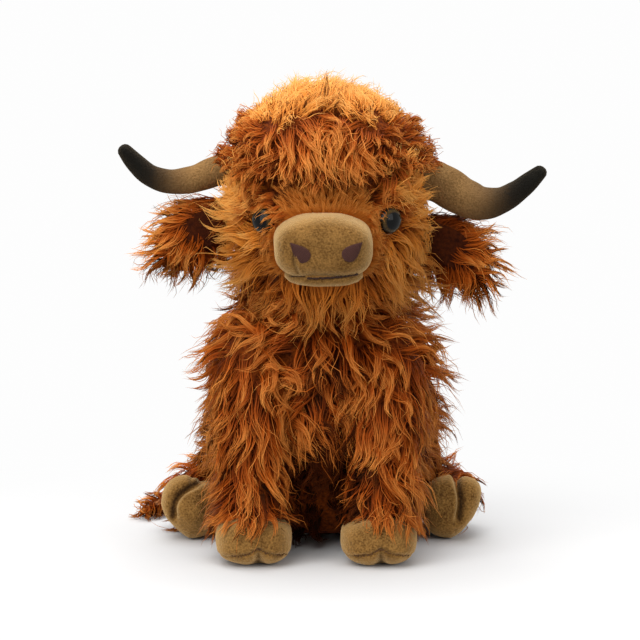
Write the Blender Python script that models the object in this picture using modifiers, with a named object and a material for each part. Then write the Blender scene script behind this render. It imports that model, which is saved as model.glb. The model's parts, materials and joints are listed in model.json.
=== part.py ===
"""A seated plush Highland cow, about 29 cm tall, as separate sewn and stuffed pieces.

The cow faces -Y and sits on the plane Z = 0. Its own left side is +X.
Lengths are in metres. The seat's flat lies round the origin.
"""

import math

import bmesh
import bpy
from mathutils import Matrix, Vector

MODEL_NAME = "plush_cow"

# Sides of the cow: its own left is +X
SIDES = (("left", 1.0), ("right", -1.0))

# Clearances and overruns
SEW_GAP = 0.0004
SOCKET_GAP = 0.0009
SWING_GAP = 0.0024
LEG_GAP = 0.0057
TAIL_GAP = 0.0047
EAR_GAP = 0.0044
LINING_GAP = 0.0060
CUT_OVERRUN = 0.02
FLAT_DEPTH = 0.0005

# Torso: a fur bag over fibre filling, with a pellet bag in the seat
BODY_HEIGHT = 0.162
BODY_HALF_WIDTH = 0.067
BODY_HALF_DEPTH = 0.063
BODY_BACK = 0.021
BODY_LEAN = 0.024
BODY_WALL = 0.007
# Rows: height, half width, half depth, lean towards the front
BODY_SHARES = (
    (0.0, 0.56, 0.60, 0.0),
    (0.035, 0.74, 0.80, 0.0),
    (0.11, 0.88, 0.93, 0.02),
    (0.26, 0.965, 1.0, 0.12),
    (0.44, 1.0, 0.98, 0.34),
    (0.62, 1.0, 0.91, 0.60),
    (0.76, 0.97, 0.82, 0.82),
    (0.87, 0.88, 0.71, 0.95),
    (0.94, 0.74, 0.60, 1.0),
    (0.985, 0.52, 0.45, 1.0),
)
PELLET_HALF_WIDTH = 0.043
PELLET_HALF_DEPTH = 0.041
PELLET_HALF_HEIGHT = 0.0155

# Neck: a ball of filling that the head turns and nods on
NECK_RADIUS = 0.041
NECK_FORWARD = 0.004
NECK_HEIGHT = 0.166

# Head: a fur bag over fibre filling
HEAD_BASE = 0.166
HEAD_HEIGHT = 0.115
HEAD_HALF_WIDTH = 0.062
HEAD_HALF_DEPTH = 0.061
HEAD_FORWARD = 0.021
HEAD_SHIFT = 0.004
HEAD_WALL = 0.006
# Rows: height, half width, half depth
HEAD_SHARES = (
    (0.0, 0.52, 0.52),
    (0.03, 0.70, 0.70),
    (0.12, 0.87, 0.88),
    (0.26, 0.97, 0.98),
    (0.42, 1.0, 1.0),
    (0.58, 0.985, 0.97),
    (0.73, 0.90, 0.88),
    (0.86, 0.72, 0.71),
    (0.95, 0.48, 0.48),
    (0.99, 0.24, 0.24),
)

# Forelock: a thick fur panel over the crown and the forehead
# Its front edge clears the eyes, and its back edge lies higher
FORELOCK_RISE = 0.0125
FORELOCK_EYE_GAP = 0.0079
FORELOCK_BACK_RISE = 0.030
FORELOCK_HALF_WIDTH = 0.056

# Short-pile panel between the forelock and the muzzle
BRIDGE_HALF_WIDTH = 0.024
BRIDGE_LOW = 0.199
BRIDGE_THICKNESS = 0.003

# Muzzle: a box of velour with round corners, and the lower lip under the mouth
MUZZLE_SHIFT = 0.002
MUZZLE_HALF_WIDTH = 0.031
MUZZLE_LOW = 0.182
MUZZLE_HIGH = 0.2225
MUZZLE_FRONT = 0.110
MUZZLE_DEPTH = 0.052
MUZZLE_CORNER_SHARE = 0.25
LIP_HALF_WIDTH = 0.0255
LIP_HEIGHT = 0.0130
LIP_TUCK = 0.0065
LIP_SETBACK = 0.0030
LIP_DEPTH = 0.046
# Mouth: thread in the groove over the lip, its corners a little farther back
MOUTH_HALF_WIDTH = 0.0205
MOUTH_RISE = 0.0053
MOUTH_SETBACK = 0.0055
MOUTH_CURVE = 0.0016
MOUTH_SHARES = (-1.0, -0.6, -0.2, 0.2, 0.6, 1.0)
STITCH_RADIUS = 0.0014
NOSTRIL_OUT = 0.0125
NOSTRIL_HEIGHT = 0.2035
NOSTRIL_LENGTH = 0.0135
NOSTRIL_WIDTH = 0.0085
NOSTRIL_TILT = math.radians(38.0)
NOSTRIL_THICKNESS = 0.0009

# Eyes: a plastic dome on a shank, held by a washer inside the head
EYE_RADIUS = 0.0086
EYE_DOME = 0.0058
EYE_EDGE = 0.0016
EYE_OUT = 0.0375
EYE_HEIGHT = 0.2155
EYE_TURN = math.radians(36.0)
EYE_PROUD = 0.0012
SHANK_RADIUS = 0.0022
SHANK_LENGTH = 0.0125
WASHER_RADIUS = 0.0072
WASHER_THICKNESS = 0.0013

# Horns: stuffed velour, each with its own bend
# Rows: reach, rise, forward sweep, radius
HORN_SIZES = {
    "left": {"root_out": 0.058, "root_height": 0.2345, "radius": 0.0128,
             "reach": 0.0745, "rise": 0.0190, "sweep": 0.012},
    "right": {"root_out": 0.048, "root_height": 0.2425, "radius": 0.0104,
              "reach": 0.0770, "rise": 0.0130, "sweep": 0.012},
}
HORN_FORWARD = 0.010
HORN_SHARES = {
    "left": (
        (0.0, 0.0, 0.0, 1.0),
        (0.19, -0.30, 0.05, 0.99),
        (0.36, -0.70, 0.15, 0.95),
        (0.52, -0.90, 0.30, 0.84),
        (0.68, -0.78, 0.50, 0.66),
        (0.82, -0.45, 0.70, 0.545),
        (0.93, -0.10, 0.87, 0.46),
        (1.0, 0.16, 1.0, 0.36),
    ),
    "right": (
        (0.0, 0.0, 0.0, 1.0),
        (0.12, -0.12, 0.05, 0.97),
        (0.28, -0.42, 0.15, 0.90),
        (0.45, -0.78, 0.30, 0.82),
        (0.64, -0.86, 0.50, 0.735),
        (0.80, -0.52, 0.70, 0.66),
        (0.92, 0.12, 0.87, 0.58),
        (1.0, 0.66, 1.0, 0.44),
    ),
}

# Ears: flat leaves of fur with a lining on the front, drooping
EAR_SIZES = {
    "left": {"root_out": 0.0580, "root_height": 0.205, "droop": math.radians(42.0)},
    "right": {"root_out": 0.0575, "root_height": 0.2135, "droop": math.radians(35.0)},
}
EAR_FORWARD = 0.008
EAR_LENGTH = 0.055
EAR_WIDTH = 0.036
EAR_THICKNESS = 0.015
EAR_ROOT_RADIUS = 0.0068
# Rows: along the ear, width, thickness
EAR_SHARES = (
    (0.02, 0.46, 1.0),
    (0.14, 0.62, 1.0),
    (0.34, 0.90, 1.0),
    (0.54, 1.0, 0.95),
    (0.74, 0.86, 0.85),
    (0.90, 0.54, 0.66),
    (0.98, 0.25, 0.42),
)
LINING_MARGIN = 0.0032
LINING_THICKNESS = 0.0022

# Forelegs: from a ball in the shoulder down to the hoof
FORELEG_SIZES = {
    "left": {"foot_out": 0.0365},
    "right": {"foot_out": 0.0405},
}
SHOULDER_OUT = 0.0425
SHOULDER_FORWARD = 0.027
SHOULDER_HEIGHT = 0.122
FORELEG_RADIUS = 0.0212
FORELEG_WALL = 0.0042
# A limb's wall is thin where the limb lies on the torso, and full elsewhere
BACK_WALL_SHARE = 0.3
# The opening at a limb's root, in wall thicknesses
MOUTH_RADIUS_SHARE = 1.9
ANKLE_FORWARD = 0.063
ANKLE_HEIGHT = 0.026
FORELEG_BOW = 0.007
# Rows: along the leg, bow towards the front, radius
FORELEG_SHARES = (
    (0.0, 0.0, 1.0),
    (0.18, 0.75, 0.985),
    (0.40, 1.0, 0.945),
    (0.64, 0.72, 0.90),
    (0.84, 0.30, 0.885),
    (1.0, 0.0, 0.85),
)

# Front hooves: two toes in velour
HOOF_HALF_WIDTH = 0.0235
HOOF_HALF_DEPTH = 0.0245
HOOF_HEIGHT = 0.0305
HOOF_FORWARD = 0.0665
TOE_SPREAD_SHARE = 0.40
TOE_WIDTH_SHARE = 0.60
HOOF_CENTRE_SHARE = 0.50

# Hind legs: from a ball in the hip, forward along the floor
HIP_OUT = 0.054
HIP_BACK = 0.046
HIP_HEIGHT = 0.0315
HIND_RADIUS = 0.0190
HIND_WALL = 0.004
HOCK_OUT = 0.0835
HOCK_BACK = 0.017
HOCK_HEIGHT = 0.0215
HIND_BOW = 0.0075
# Rows: along the leg, bow away from the torso, radius
HIND_SHARES = (
    (0.0, 0.0, 1.0),
    (0.30, 0.75, 0.95),
    (0.58, 1.0, 0.915),
    (0.82, 0.55, 0.895),
    (1.0, 0.0, 0.86),
)

# Hind hooves: soles to the front, a wide toe and a narrow one
HIND_HOOF_OUT = 0.0830
HIND_HOOF_BACK = 0.0035
HIND_HOOF_HALF_WIDTH = 0.0180
HIND_HOOF_HALF_DEPTH = 0.0165
HIND_HOOF_HEIGHT = 0.0405
# Rows: across from the inner edge, half width, height
HIND_TOE_SHARES = {
    "left": ((0.355, 0.37, 1.0), (0.745, 0.255, 0.95)),
    "right": ((0.30, 0.30, 0.86), (0.64, 0.36, 1.0)),
}

# Tail: a fabric tube with a tuft, lying round to the cow's right
TAIL_ROOT_HEIGHT = 0.036
TAIL_ROOT_INSET = 0.0015
TAIL_RADIUS = 0.0052
TAIL_REACH = 0.084
TAIL_BACK = 0.020
TUFT_RADIUS = 0.0082
TUFT_REACH = 0.030
TUFT_FORWARD = 0.030
# Rows: towards the right, behind the root, drop, radius
TAIL_SHARES = (
    (0.0, 0.0, 0.0, 1.15),
    (0.10, 0.46, 0.16, 1.0),
    (0.27, 0.86, 0.52, 0.96),
    (0.48, 1.0, 0.86, 0.92),
    (0.74, 0.78, 0.985, 0.88),
    (1.0, 0.32, 1.0, 0.84),
)
# Rows: towards the right, towards the front, radius
TUFT_SHARES = (
    (0.0, 0.0, 0.62),
    (0.22, 0.16, 0.90),
    (0.48, 0.42, 1.0),
    (0.76, 0.74, 0.84),
    (1.0, 1.0, 0.40),
)

# Fineness of the surfaces: balls under and over two half sizes get their own
BODY_SIDES = 16
BODY_RINGS = 10
HEAD_SIDES = 16
HEAD_RINGS = 9
SMALL_BALL = 0.015
SMALL_SIDES = 12
SMALL_RINGS = 8
BALL_SIDES = 16
BALL_RINGS = 10
LARGE_BALL = 0.030
LARGE_SIDES = 20
LARGE_RINGS = 12
TURN_SIDES = 12
EAR_RINGS = 6
TUBE_RESOLUTION = 3
THIN_RESOLUTION = 1
TABLE_STEPS = 3
ROUND_STEPS = 2
ROUND_REACH = math.radians(70.8)
CORNER_POINTS = 4

# Colours, linear
FUR_COLOUR = (0.42, 0.13, 0.022, 1.0)
FORELOCK_COLOUR = (0.50, 0.19, 0.040, 1.0)
SHORT_PILE_COLOUR = (0.36, 0.11, 0.020, 1.0)
VELOUR_COLOUR = (0.36, 0.22, 0.082, 1.0)
HORN_COLOUR = (0.26, 0.17, 0.070, 1.0)
NOSTRIL_COLOUR = (0.055, 0.016, 0.014, 1.0)
STITCH_COLOUR = (0.050, 0.020, 0.012, 1.0)
EYE_COLOUR = (0.012, 0.009, 0.007, 1.0)
WASHER_COLOUR = (0.75, 0.75, 0.73, 1.0)
FIBRE_COLOUR = (0.85, 0.85, 0.83, 1.0)
PELLET_COLOUR = (0.60, 0.58, 0.52, 1.0)
LINING_COLOUR = (0.16, 0.045, 0.012, 1.0)


def clear_scene():
    """Remove whatever the file holds."""
    for thing in list(bpy.data.objects):
        bpy.data.objects.remove(thing, do_unlink=True)


def make_collection(name):
    """Return a new collection linked to the scene."""
    group = bpy.data.collections.new(name)
    bpy.context.scene.collection.children.link(group)
    return group


def make_material(name, colour, roughness, metallic=0.0):
    """Return a Principled material of one colour."""
    material = bpy.data.materials.new(name)
    material.use_nodes = True
    shader = material.node_tree.nodes["Principled BSDF"]
    shader.inputs["Base Color"].default_value = colour
    shader.inputs["Roughness"].default_value = roughness
    shader.inputs["Metallic"].default_value = metallic
    material.diffuse_color = colour
    return material


def catmull_rom(rows, steps):
    """Return rows with more rows between them on a smooth curve through them all."""
    smooth = []
    last = len(rows) - 1
    for i in range(last):
        before = rows[max(i - 1, 0)]
        start = rows[i]
        end = rows[i + 1]
        after = rows[min(i + 2, last)]
        for step in range(steps):
            t = step / steps
            row = []
            for a, b, c, d in zip(before, start, end, after):
                value = 2 * b + (c - a) * t + (2 * a - 5 * b + 4 * c - d) * t ** 2
                value += (3 * b - a - 3 * c + d) * t ** 3
                row.append(value / 2)
            smooth.append(tuple(row))
    smooth.append(tuple(rows[last]))
    return smooth


def row_at(rows, place):
    """Return the values of a table of rows at a place given by their first column."""
    if place <= rows[0][0]:
        return rows[0][1:]
    for low, high in zip(rows, rows[1:]):
        if place <= high[0]:
            t = (place - low[0]) / (high[0] - low[0])
            return tuple(a + (b - a) * t for a, b in zip(low[1:], high[1:]))
    return rows[-1][1:]


def link_mesh(name, bm, collection, material=None, triangles=True):
    """Make an object of a bmesh, with its faces pointing out.

    Every quad is split the same way, so forms inside each other stay clear of each other.
    """
    bmesh.ops.recalc_face_normals(bm, faces=bm.faces)
    if triangles:
        bmesh.ops.triangulate(bm, faces=bm.faces, quad_method="FIXED")
    mesh = bpy.data.meshes.new(name)
    bm.to_mesh(mesh)
    bm.free()
    mesh.shade_smooth()
    thing = bpy.data.objects.new(name, mesh)
    if material is not None:
        mesh.materials.append(material)
    collection.objects.link(thing)
    return thing


def loft(rings, low_pole, high_pole):
    """Return a bmesh skin over closed rings of points, closed by a pole at each end."""
    bm = bmesh.new()
    grid = [[bm.verts.new(point) for point in ring] for ring in rings]
    bottom = bm.verts.new(low_pole)
    top = bm.verts.new(high_pole)
    count = len(grid[0])
    for low, high in zip(grid, grid[1:]):
        for i in range(count):
            j = (i + 1) % count
            bm.faces.new((low[i], low[j], high[j], high[i]))
    for i in range(count):
        j = (i + 1) % count
        bm.faces.new((bottom, grid[0][j], grid[0][i]))
        bm.faces.new((top, grid[-1][i], grid[-1][j]))
    return bm


def ellipse(centre, across, along, sides):
    """Return points round an ellipse with the two half axes given as vectors."""
    points = []
    for i in range(sides):
        angle = 2 * math.pi * i / sides
        points.append(centre + across * math.cos(angle) + along * math.sin(angle))
    return points


def ring_heights(count):
    """Return shares of a height that crowd towards both ends."""
    return [(1 - math.cos(math.pi * (i + 1) / (count + 1))) / 2 for i in range(count)]


class Builder:
    """The collections and materials that every piece is made with."""

    def __init__(self):
        self.parts = make_collection(MODEL_NAME)
        self.cutters = make_collection(MODEL_NAME + "_cutters")
        self.empties = {}

    def hide(self, thing):
        """Turn an object into a cutter, shown as wire."""
        thing.hide_render = True
        thing.display_type = "WIRE"
        return thing

    def body_form(self, name, inset, collection, material=None):
        """Make the torso's form, drawn in by an inset on all sides."""
        low = -FLAT_DEPTH + inset
        height = BODY_HEIGHT + FLAT_DEPTH - 2 * inset
        table = catmull_rom(BODY_SHARES, TABLE_STEPS)
        rings = []
        for share in [0.0] + ring_heights(BODY_RINGS):
            width, depth, lean = row_at(table, share)
            centre = Vector((0.0, BODY_BACK - BODY_LEAN * lean, low + height * share))
            across = Vector((BODY_HALF_WIDTH * width - inset, 0.0, 0.0))
            along = Vector((0.0, BODY_HALF_DEPTH * depth - inset, 0.0))
            rings.append(ellipse(centre, across, along, BODY_SIDES))
        bottom = Vector((0.0, BODY_BACK, low))
        top = Vector((0.0, BODY_BACK - BODY_LEAN, low + height))
        return link_mesh(name, loft(rings, bottom, top), collection, material)

    def head_form(self, name, inset, collection, material=None):
        """Make the head's form, drawn in by an inset on all sides."""
        low = HEAD_BASE + inset
        height = HEAD_HEIGHT - 2 * inset
        table = catmull_rom(HEAD_SHARES, TABLE_STEPS)
        rings = []
        for share in ring_heights(HEAD_RINGS):
            width, depth = row_at(table, share)
            centre = Vector((HEAD_SHIFT, -HEAD_FORWARD, low + height * share))
            across = Vector((HEAD_HALF_WIDTH * width - inset, 0.0, 0.0))
            along = Vector((0.0, HEAD_HALF_DEPTH * depth - inset, 0.0))
            rings.append(ellipse(centre, across, along, HEAD_SIDES))
        bottom = Vector((HEAD_SHIFT, -HEAD_FORWARD, low))
        top = Vector((HEAD_SHIFT, -HEAD_FORWARD, low + height))
        return link_mesh(name, loft(rings, bottom, top), collection, material)

    def ball(self, name, centre, radii, collection, material=None, plain=False):
        """Make a ball or an ellipsoid with the given half sizes, small ones with few faces."""
        sides, rings = BALL_SIDES, BALL_RINGS
        if max(radii) < SMALL_BALL or plain:
            sides, rings = SMALL_SIDES, SMALL_RINGS
        elif min(radii) > LARGE_BALL:
            sides, rings = LARGE_SIDES, LARGE_RINGS
        bm = bmesh.new()
        bmesh.ops.create_uvsphere(bm, u_segments=sides, v_segments=rings, radius=1.0)
        bmesh.ops.transform(bm, matrix=Matrix.Diagonal((*radii, 1.0)), verts=bm.verts)
        bmesh.ops.translate(bm, vec=centre, verts=bm.verts)
        return link_mesh(name, bm, collection, material)

    def box(self, name, low, high, collection):
        """Make a box between two corners."""
        bm = bmesh.new()
        bmesh.ops.create_cube(bm, size=1.0)
        size = [b - a for a, b in zip(low, high)]
        middle = [(a + b) / 2 for a, b in zip(low, high)]
        bmesh.ops.transform(bm, matrix=Matrix.Diagonal((*size, 1.0)), verts=bm.verts)
        bmesh.ops.translate(bm, vec=middle, verts=bm.verts)
        return link_mesh(name, bm, collection, triangles=False)

    def tube(self, name, rows, collection, material=None, inset=0.0, resolution=TUBE_RESOLUTION):
        """Make a round-ended tube through rows of x, y, z and radius."""
        points = [(Vector(row[:3]), row[3] - inset) for row in rows]
        first = (points[0][0] - points[1][0]).normalized()
        last = (points[-1][0] - points[-2][0]).normalized()
        start, start_radius = points[0]
        end, end_radius = points[-1]
        head = []
        tail = []
        for i in range(1, ROUND_STEPS + 1):
            angle = ROUND_REACH * i / ROUND_STEPS
            head.insert(0, (start + first * start_radius * math.sin(angle),
                            start_radius * math.cos(angle)))
            tail.append((end + last * end_radius * math.sin(angle),
                         end_radius * math.cos(angle)))
        route = head + points + tail
        curve = bpy.data.curves.new(name, "CURVE")
        curve.dimensions = "3D"
        curve.bevel_depth = 1.0
        curve.bevel_resolution = resolution
        curve.use_fill_caps = True
        spline = curve.splines.new("POLY")
        spline.points.add(len(route) - 1)
        for point, (place, radius) in zip(spline.points, route):
            point.co = (*place, 1.0)
            point.radius = radius
        guide = bpy.data.objects.new(name + "_guide", curve)
        self.cutters.objects.link(guide)
        depsgraph = bpy.context.evaluated_depsgraph_get()
        mesh = bpy.data.meshes.new_from_object(guide.evaluated_get(depsgraph))
        bm = bmesh.new()
        bm.from_mesh(mesh)
        bmesh.ops.remove_doubles(bm, verts=bm.verts, dist=SEW_GAP / 10)
        bpy.data.objects.remove(guide, do_unlink=True)
        bpy.data.meshes.remove(mesh)
        return link_mesh(name, bm, collection, material)

    def boolean(self, thing, other, operation="DIFFERENCE"):
        """Cut, join or intersect an object with another one."""
        modifier = thing.modifiers.new(operation.lower(), "BOOLEAN")
        modifier.operation = operation
        modifier.solver = "EXACT"
        modifier.object = other
        return thing

    def cut(self, thing, *others):
        """Cut several cutters from an object."""
        for other in others:
            self.boolean(thing, other)
        return thing

    def pivot(self, name, place):
        """Return the empty at a joint, made on first use."""
        if name not in self.empties:
            empty = bpy.data.objects.new(name + "_pivot", None)
            empty.location = place
            empty.empty_display_size = SHANK_LENGTH
            self.parts.objects.link(empty)
            self.empties[name] = empty
        return self.empties[name]

    def hang(self, thing, name, place):
        """Parent a piece to its joint's empty without moving it."""
        empty = self.pivot(name, place)
        thing.parent = empty
        thing.matrix_parent_inverse = Matrix.Translation(-Vector(place))
        return thing


def neck_pivot():
    """Return the centre of the neck's ball."""
    return Vector((0.0, -NECK_FORWARD, NECK_HEIGHT))


def shoulder(side):
    """Return the centre of a shoulder's ball."""
    return Vector((SHOULDER_OUT * side, -SHOULDER_FORWARD, SHOULDER_HEIGHT))


def hip(side):
    """Return the centre of a hip's ball."""
    return Vector((HIP_OUT * side, HIP_BACK, HIP_HEIGHT))


def tail_root():
    """Return the centre of the tail's root, just inside the torso's back."""
    table = catmull_rom(BODY_SHARES, TABLE_STEPS)
    width, depth, lean = row_at(table, TAIL_ROOT_HEIGHT / BODY_HEIGHT)
    back = BODY_BACK - BODY_LEAN * lean + BODY_HALF_DEPTH * depth
    return Vector((0.0, back - TAIL_ROOT_INSET, TAIL_ROOT_HEIGHT))


def horn_root(name, side):
    """Return the centre of a horn's root."""
    sizes = HORN_SIZES[name]
    out = HEAD_SHIFT + sizes["root_out"] * side
    return Vector((out, -HORN_FORWARD, sizes["root_height"]))


def ear_root(name, side):
    """Return the centre of an ear's root."""
    sizes = EAR_SIZES[name]
    out = HEAD_SHIFT + sizes["root_out"] * side
    return Vector((out, -EAR_FORWARD, sizes["root_height"]))


def foreleg_rows(name, side):
    """Return the foreleg's centre line and radii."""
    start = shoulder(side)
    end = Vector((FORELEG_SIZES[name]["foot_out"] * side, -ANKLE_FORWARD, ANKLE_HEIGHT))
    rows = []
    for along, bow, radius in FORELEG_SHARES:
        place = start.lerp(end, along) + Vector((0.0, -FORELEG_BOW * bow, 0.0))
        rows.append((*place, FORELEG_RADIUS * radius))
    return rows


def hind_rows(side):
    """Return the hind leg's centre line and radii."""
    start = hip(side)
    end = Vector((HOCK_OUT * side, HOCK_BACK, HOCK_HEIGHT))
    rows = []
    for along, bow, radius in HIND_SHARES:
        place = start.lerp(end, along) + Vector((HIND_BOW * bow * side, 0.0, 0.0))
        rows.append((*place, HIND_RADIUS * radius))
    return rows


def horn_rows(name, side):
    """Return the horn's centre line and radii."""
    root = horn_root(name, side)
    sizes = HORN_SIZES[name]
    rows = []
    for reach, rise, sweep, radius in HORN_SHARES[name]:
        step = Vector((sizes["reach"] * reach * side, -sizes["sweep"] * sweep,
                       sizes["rise"] * rise))
        rows.append((*(root + step), sizes["radius"] * radius))
    return rows


def tail_rows():
    """Return the tail's centre line and radii."""
    root = tail_root()
    drop = TAIL_ROOT_HEIGHT - TAIL_RADIUS * TAIL_SHARES[-1][3] + FLAT_DEPTH
    rows = []
    for across, back, down, radius in TAIL_SHARES:
        step = Vector((-TAIL_REACH * across, TAIL_BACK * back, -drop * down))
        rows.append((*(root + step), TAIL_RADIUS * radius))
    return rows


def tuft_rows():
    """Return the tuft's centre line and radii, resting on the floor."""
    end = Vector(tail_rows()[-1][:3])
    rows = []
    for across, forward, radius in TUFT_SHARES:
        size = TUFT_RADIUS * radius
        place = Vector((end.x - TUFT_REACH * across, end.y - TUFT_FORWARD * forward,
                        max(size, TAIL_RADIUS) - FLAT_DEPTH))
        rows.append((*place, size))
    return rows


class Limb:
    """A stuffed limb whose root is a ball in a socket of the piece that carries it."""

    def __init__(self, builder, name, rows, root_radius, carrier_form, swing_gap):
        self.builder = builder
        self.name = name
        self.rows = rows
        self.root = Vector(rows[0][:3])
        self.root_radius = root_radius
        self.carrier_form = carrier_form
        self.swing_gap = swing_gap

    def solid(self, name, collection, material=None, wall=0.0, gap=0.0):
        """Make the limb inside a wall and a gap, clear of its carrier but for the root."""
        cutters = self.builder.cutters
        inset = wall + gap
        limb = self.builder.tube(name, self.rows, collection, material, inset)
        room = self.swing_gap + wall * BACK_WALL_SHARE + gap
        away = self.carrier_form(name + "_carrier", -room, cutters)
        radius = self.root_radius - inset + SEW_GAP / 2
        root = self.builder.ball(name + "_root", self.root, (radius,) * 3, cutters)
        self.builder.hide(root)
        self.builder.cut(self.builder.hide(away), root)
        return self.builder.cut(limb, away)

    def socket(self, name):
        """Make the cutter of the socket that the root turns in."""
        radius = self.root_radius + SOCKET_GAP
        ball = self.builder.ball(name, self.root, (radius,) * 3, self.builder.cutters)
        return self.builder.hide(ball)


def make_materials():
    """Return the materials by name."""
    return {
        "fur": make_material("fur", FUR_COLOUR, 0.85),
        "forelock": make_material("forelock", FORELOCK_COLOUR, 0.85),
        "short_pile": make_material("short_pile", SHORT_PILE_COLOUR, 0.9),
        "velour": make_material("velour", VELOUR_COLOUR, 0.9),
        "horn_velour": make_material("horn_velour", HORN_COLOUR, 0.9),
        "nostril_thread": make_material("nostril_thread", NOSTRIL_COLOUR, 0.7),
        "mouth_thread": make_material("mouth_thread", STITCH_COLOUR, 0.7),
        "eye_plastic": make_material("eye_plastic", EYE_COLOUR, 0.08),
        "washer_plastic": make_material("washer_plastic", WASHER_COLOUR, 0.5),
        "fibre": make_material("fibre", FIBRE_COLOUR, 0.95),
        "pellets": make_material("pellets", PELLET_COLOUR, 0.9),
        "ear_lining": make_material("ear_lining", LINING_COLOUR, 0.9),
    }


def make_floor(builder):
    """Make the cutter below the plane that the cow sits on."""
    reach = BODY_HEIGHT + CUT_OVERRUN
    low = (-reach, -reach, -CUT_OVERRUN)
    floor = builder.box("floor_cutter", low, (reach, reach, 0.0), builder.cutters)
    return builder.hide(floor)


def make_limbs(builder):
    """Return the limbs by name: forelegs, hind legs, horns and the tail."""
    limbs = {}
    for name, side in SIDES:
        limbs["foreleg_" + name] = Limb(builder, "foreleg_" + name, foreleg_rows(name, side),
                                        FORELEG_RADIUS, builder.body_form, LEG_GAP)
        limbs["hind_leg_" + name] = Limb(builder, "hind_leg_" + name, hind_rows(side),
                                         HIND_RADIUS, builder.body_form, SWING_GAP)
        limbs["horn_" + name] = Limb(builder, "horn_" + name, horn_rows(name, side),
                                     HORN_SIZES[name]["radius"], builder.head_form, SWING_GAP)
    rows = tail_rows()
    limbs["tail"] = Limb(builder, "tail", rows, rows[0][3], builder.body_form, TAIL_GAP)
    return limbs


def make_torso(builder, materials, limbs, floor):
    """Make the torso's skin, its filling and the pellet bag in the seat."""
    cutters = builder.cutters
    skin = builder.body_form("body_skin", 0.0, builder.parts, materials["fur"])
    hollow = builder.hide(builder.body_form("body_hollow", BODY_WALL, cutters))
    filling = builder.body_form("body_stuffing", BODY_WALL + SEW_GAP, builder.parts,
                                materials["fibre"])
    sockets = [neck_socket(builder, "torso_neck_socket")]
    for name in ("foreleg_left", "foreleg_right", "hind_leg_left", "hind_leg_right", "tail"):
        sockets.append(limbs[name].socket(name + "_socket"))
    builder.cut(skin, hollow, *sockets, floor)
    builder.cut(filling, *sockets)
    seat = BODY_WALL + SEW_GAP - FLAT_DEPTH
    middle = Vector((0.0, BODY_BACK, seat + PELLET_HALF_HEIGHT + SEW_GAP))
    sizes = (PELLET_HALF_WIDTH, PELLET_HALF_DEPTH, PELLET_HALF_HEIGHT)
    builder.ball("seat_pellet_bag", middle, sizes, builder.parts, materials["pellets"])
    room_sizes = tuple(size + 2 * SEW_GAP for size in sizes)
    room = builder.ball("pellet_room", middle, room_sizes, cutters)
    low = (-PELLET_HALF_WIDTH / 2, BODY_BACK - PELLET_HALF_DEPTH / 2, -CUT_OVERRUN)
    high = (PELLET_HALF_WIDTH / 2, BODY_BACK + PELLET_HALF_DEPTH / 2, middle.z)
    mouth = builder.box("pellet_mouth", low, high, cutters)
    builder.cut(filling, builder.hide(room), builder.hide(mouth))


def neck_socket(builder, name):
    """Make the cutter of a socket round the neck's ball."""
    radii = (NECK_RADIUS + SOCKET_GAP,) * 3
    return builder.hide(builder.ball(name, neck_pivot(), radii, builder.cutters))


def make_neck(builder, materials):
    """Make the ball of filling between the torso and the head."""
    radii = (NECK_RADIUS,) * 3
    neck = builder.ball("neck_stuffing", neck_pivot(), radii, builder.parts,
                        materials["fibre"])
    return builder.hang(neck, "neck", neck_pivot())


def head_front(out, height):
    """Return the Y of the head's front surface at a distance off the middle and a height."""
    table = catmull_rom(HEAD_SHARES, TABLE_STEPS)
    width, depth = row_at(table, (height - HEAD_BASE) / HEAD_HEIGHT)
    share = (out - HEAD_SHIFT) / (HEAD_HALF_WIDTH * width)
    return -HEAD_FORWARD - HEAD_HALF_DEPTH * depth * math.sqrt(1 - share ** 2)


def eye_matrix(side):
    """Return the eye's place on the head, its own +Z pointing out of the head."""
    out = HEAD_SHIFT + EYE_OUT * side
    front = head_front(out, EYE_HEIGHT)
    facing = Matrix.Rotation(EYE_TURN * side, 4, "Z") @ Matrix.Rotation(math.pi / 2, 4, "X")
    return Matrix.Translation((out, front, EYE_HEIGHT)) @ facing


def turned(builder, name, profile, matrix, collection, material=None):
    """Make a turned solid from a profile of radius and height, top to bottom."""
    bm = bmesh.new()
    verts = [bm.verts.new((radius, 0.0, height)) for radius, height in profile]
    for a, b in zip(verts, verts[1:]):
        bm.edges.new((a, b))
    bmesh.ops.spin(bm, geom=bm.verts[:] + bm.edges[:], cent=(0.0, 0.0, 0.0),
                   axis=(0.0, 0.0, 1.0), angle=2 * math.pi, steps=TURN_SIDES)
    bmesh.ops.remove_doubles(bm, verts=bm.verts, dist=SEW_GAP / 10)
    bmesh.ops.transform(bm, matrix=matrix, verts=bm.verts)
    return link_mesh(name, bm, collection, material)


def eye_profile(gap=0.0):
    """Return the profile of an eye: dome, edge, back and shank."""
    back = -EYE_EDGE + EYE_PROUD - gap
    profile = [(0.0, EYE_PROUD + EYE_DOME + gap)]
    for i in range(1, CORNER_POINTS):
        angle = math.pi / 2 * i / CORNER_POINTS
        radius = (EYE_RADIUS + gap) * math.sin(angle)
        profile.append((radius, EYE_PROUD + (EYE_DOME + gap) * math.cos(angle)))
    profile.append((EYE_RADIUS + gap, EYE_PROUD))
    profile.append((EYE_RADIUS + gap, back))
    profile.append((SHANK_RADIUS + gap, back))
    profile.append((SHANK_RADIUS + gap, back - SHANK_LENGTH - gap))
    profile.append((0.0, back - SHANK_LENGTH - gap))
    return profile


def washer_profile():
    """Return the profile of an eye's washer, seated on the head's inner wall."""
    top = -HEAD_WALL - SEW_GAP
    bottom = top - WASHER_THICKNESS
    inner = SHANK_RADIUS + SEW_GAP
    return [(inner, top), (WASHER_RADIUS, top), (WASHER_RADIUS, bottom), (inner, bottom),
            (inner, top)]


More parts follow.
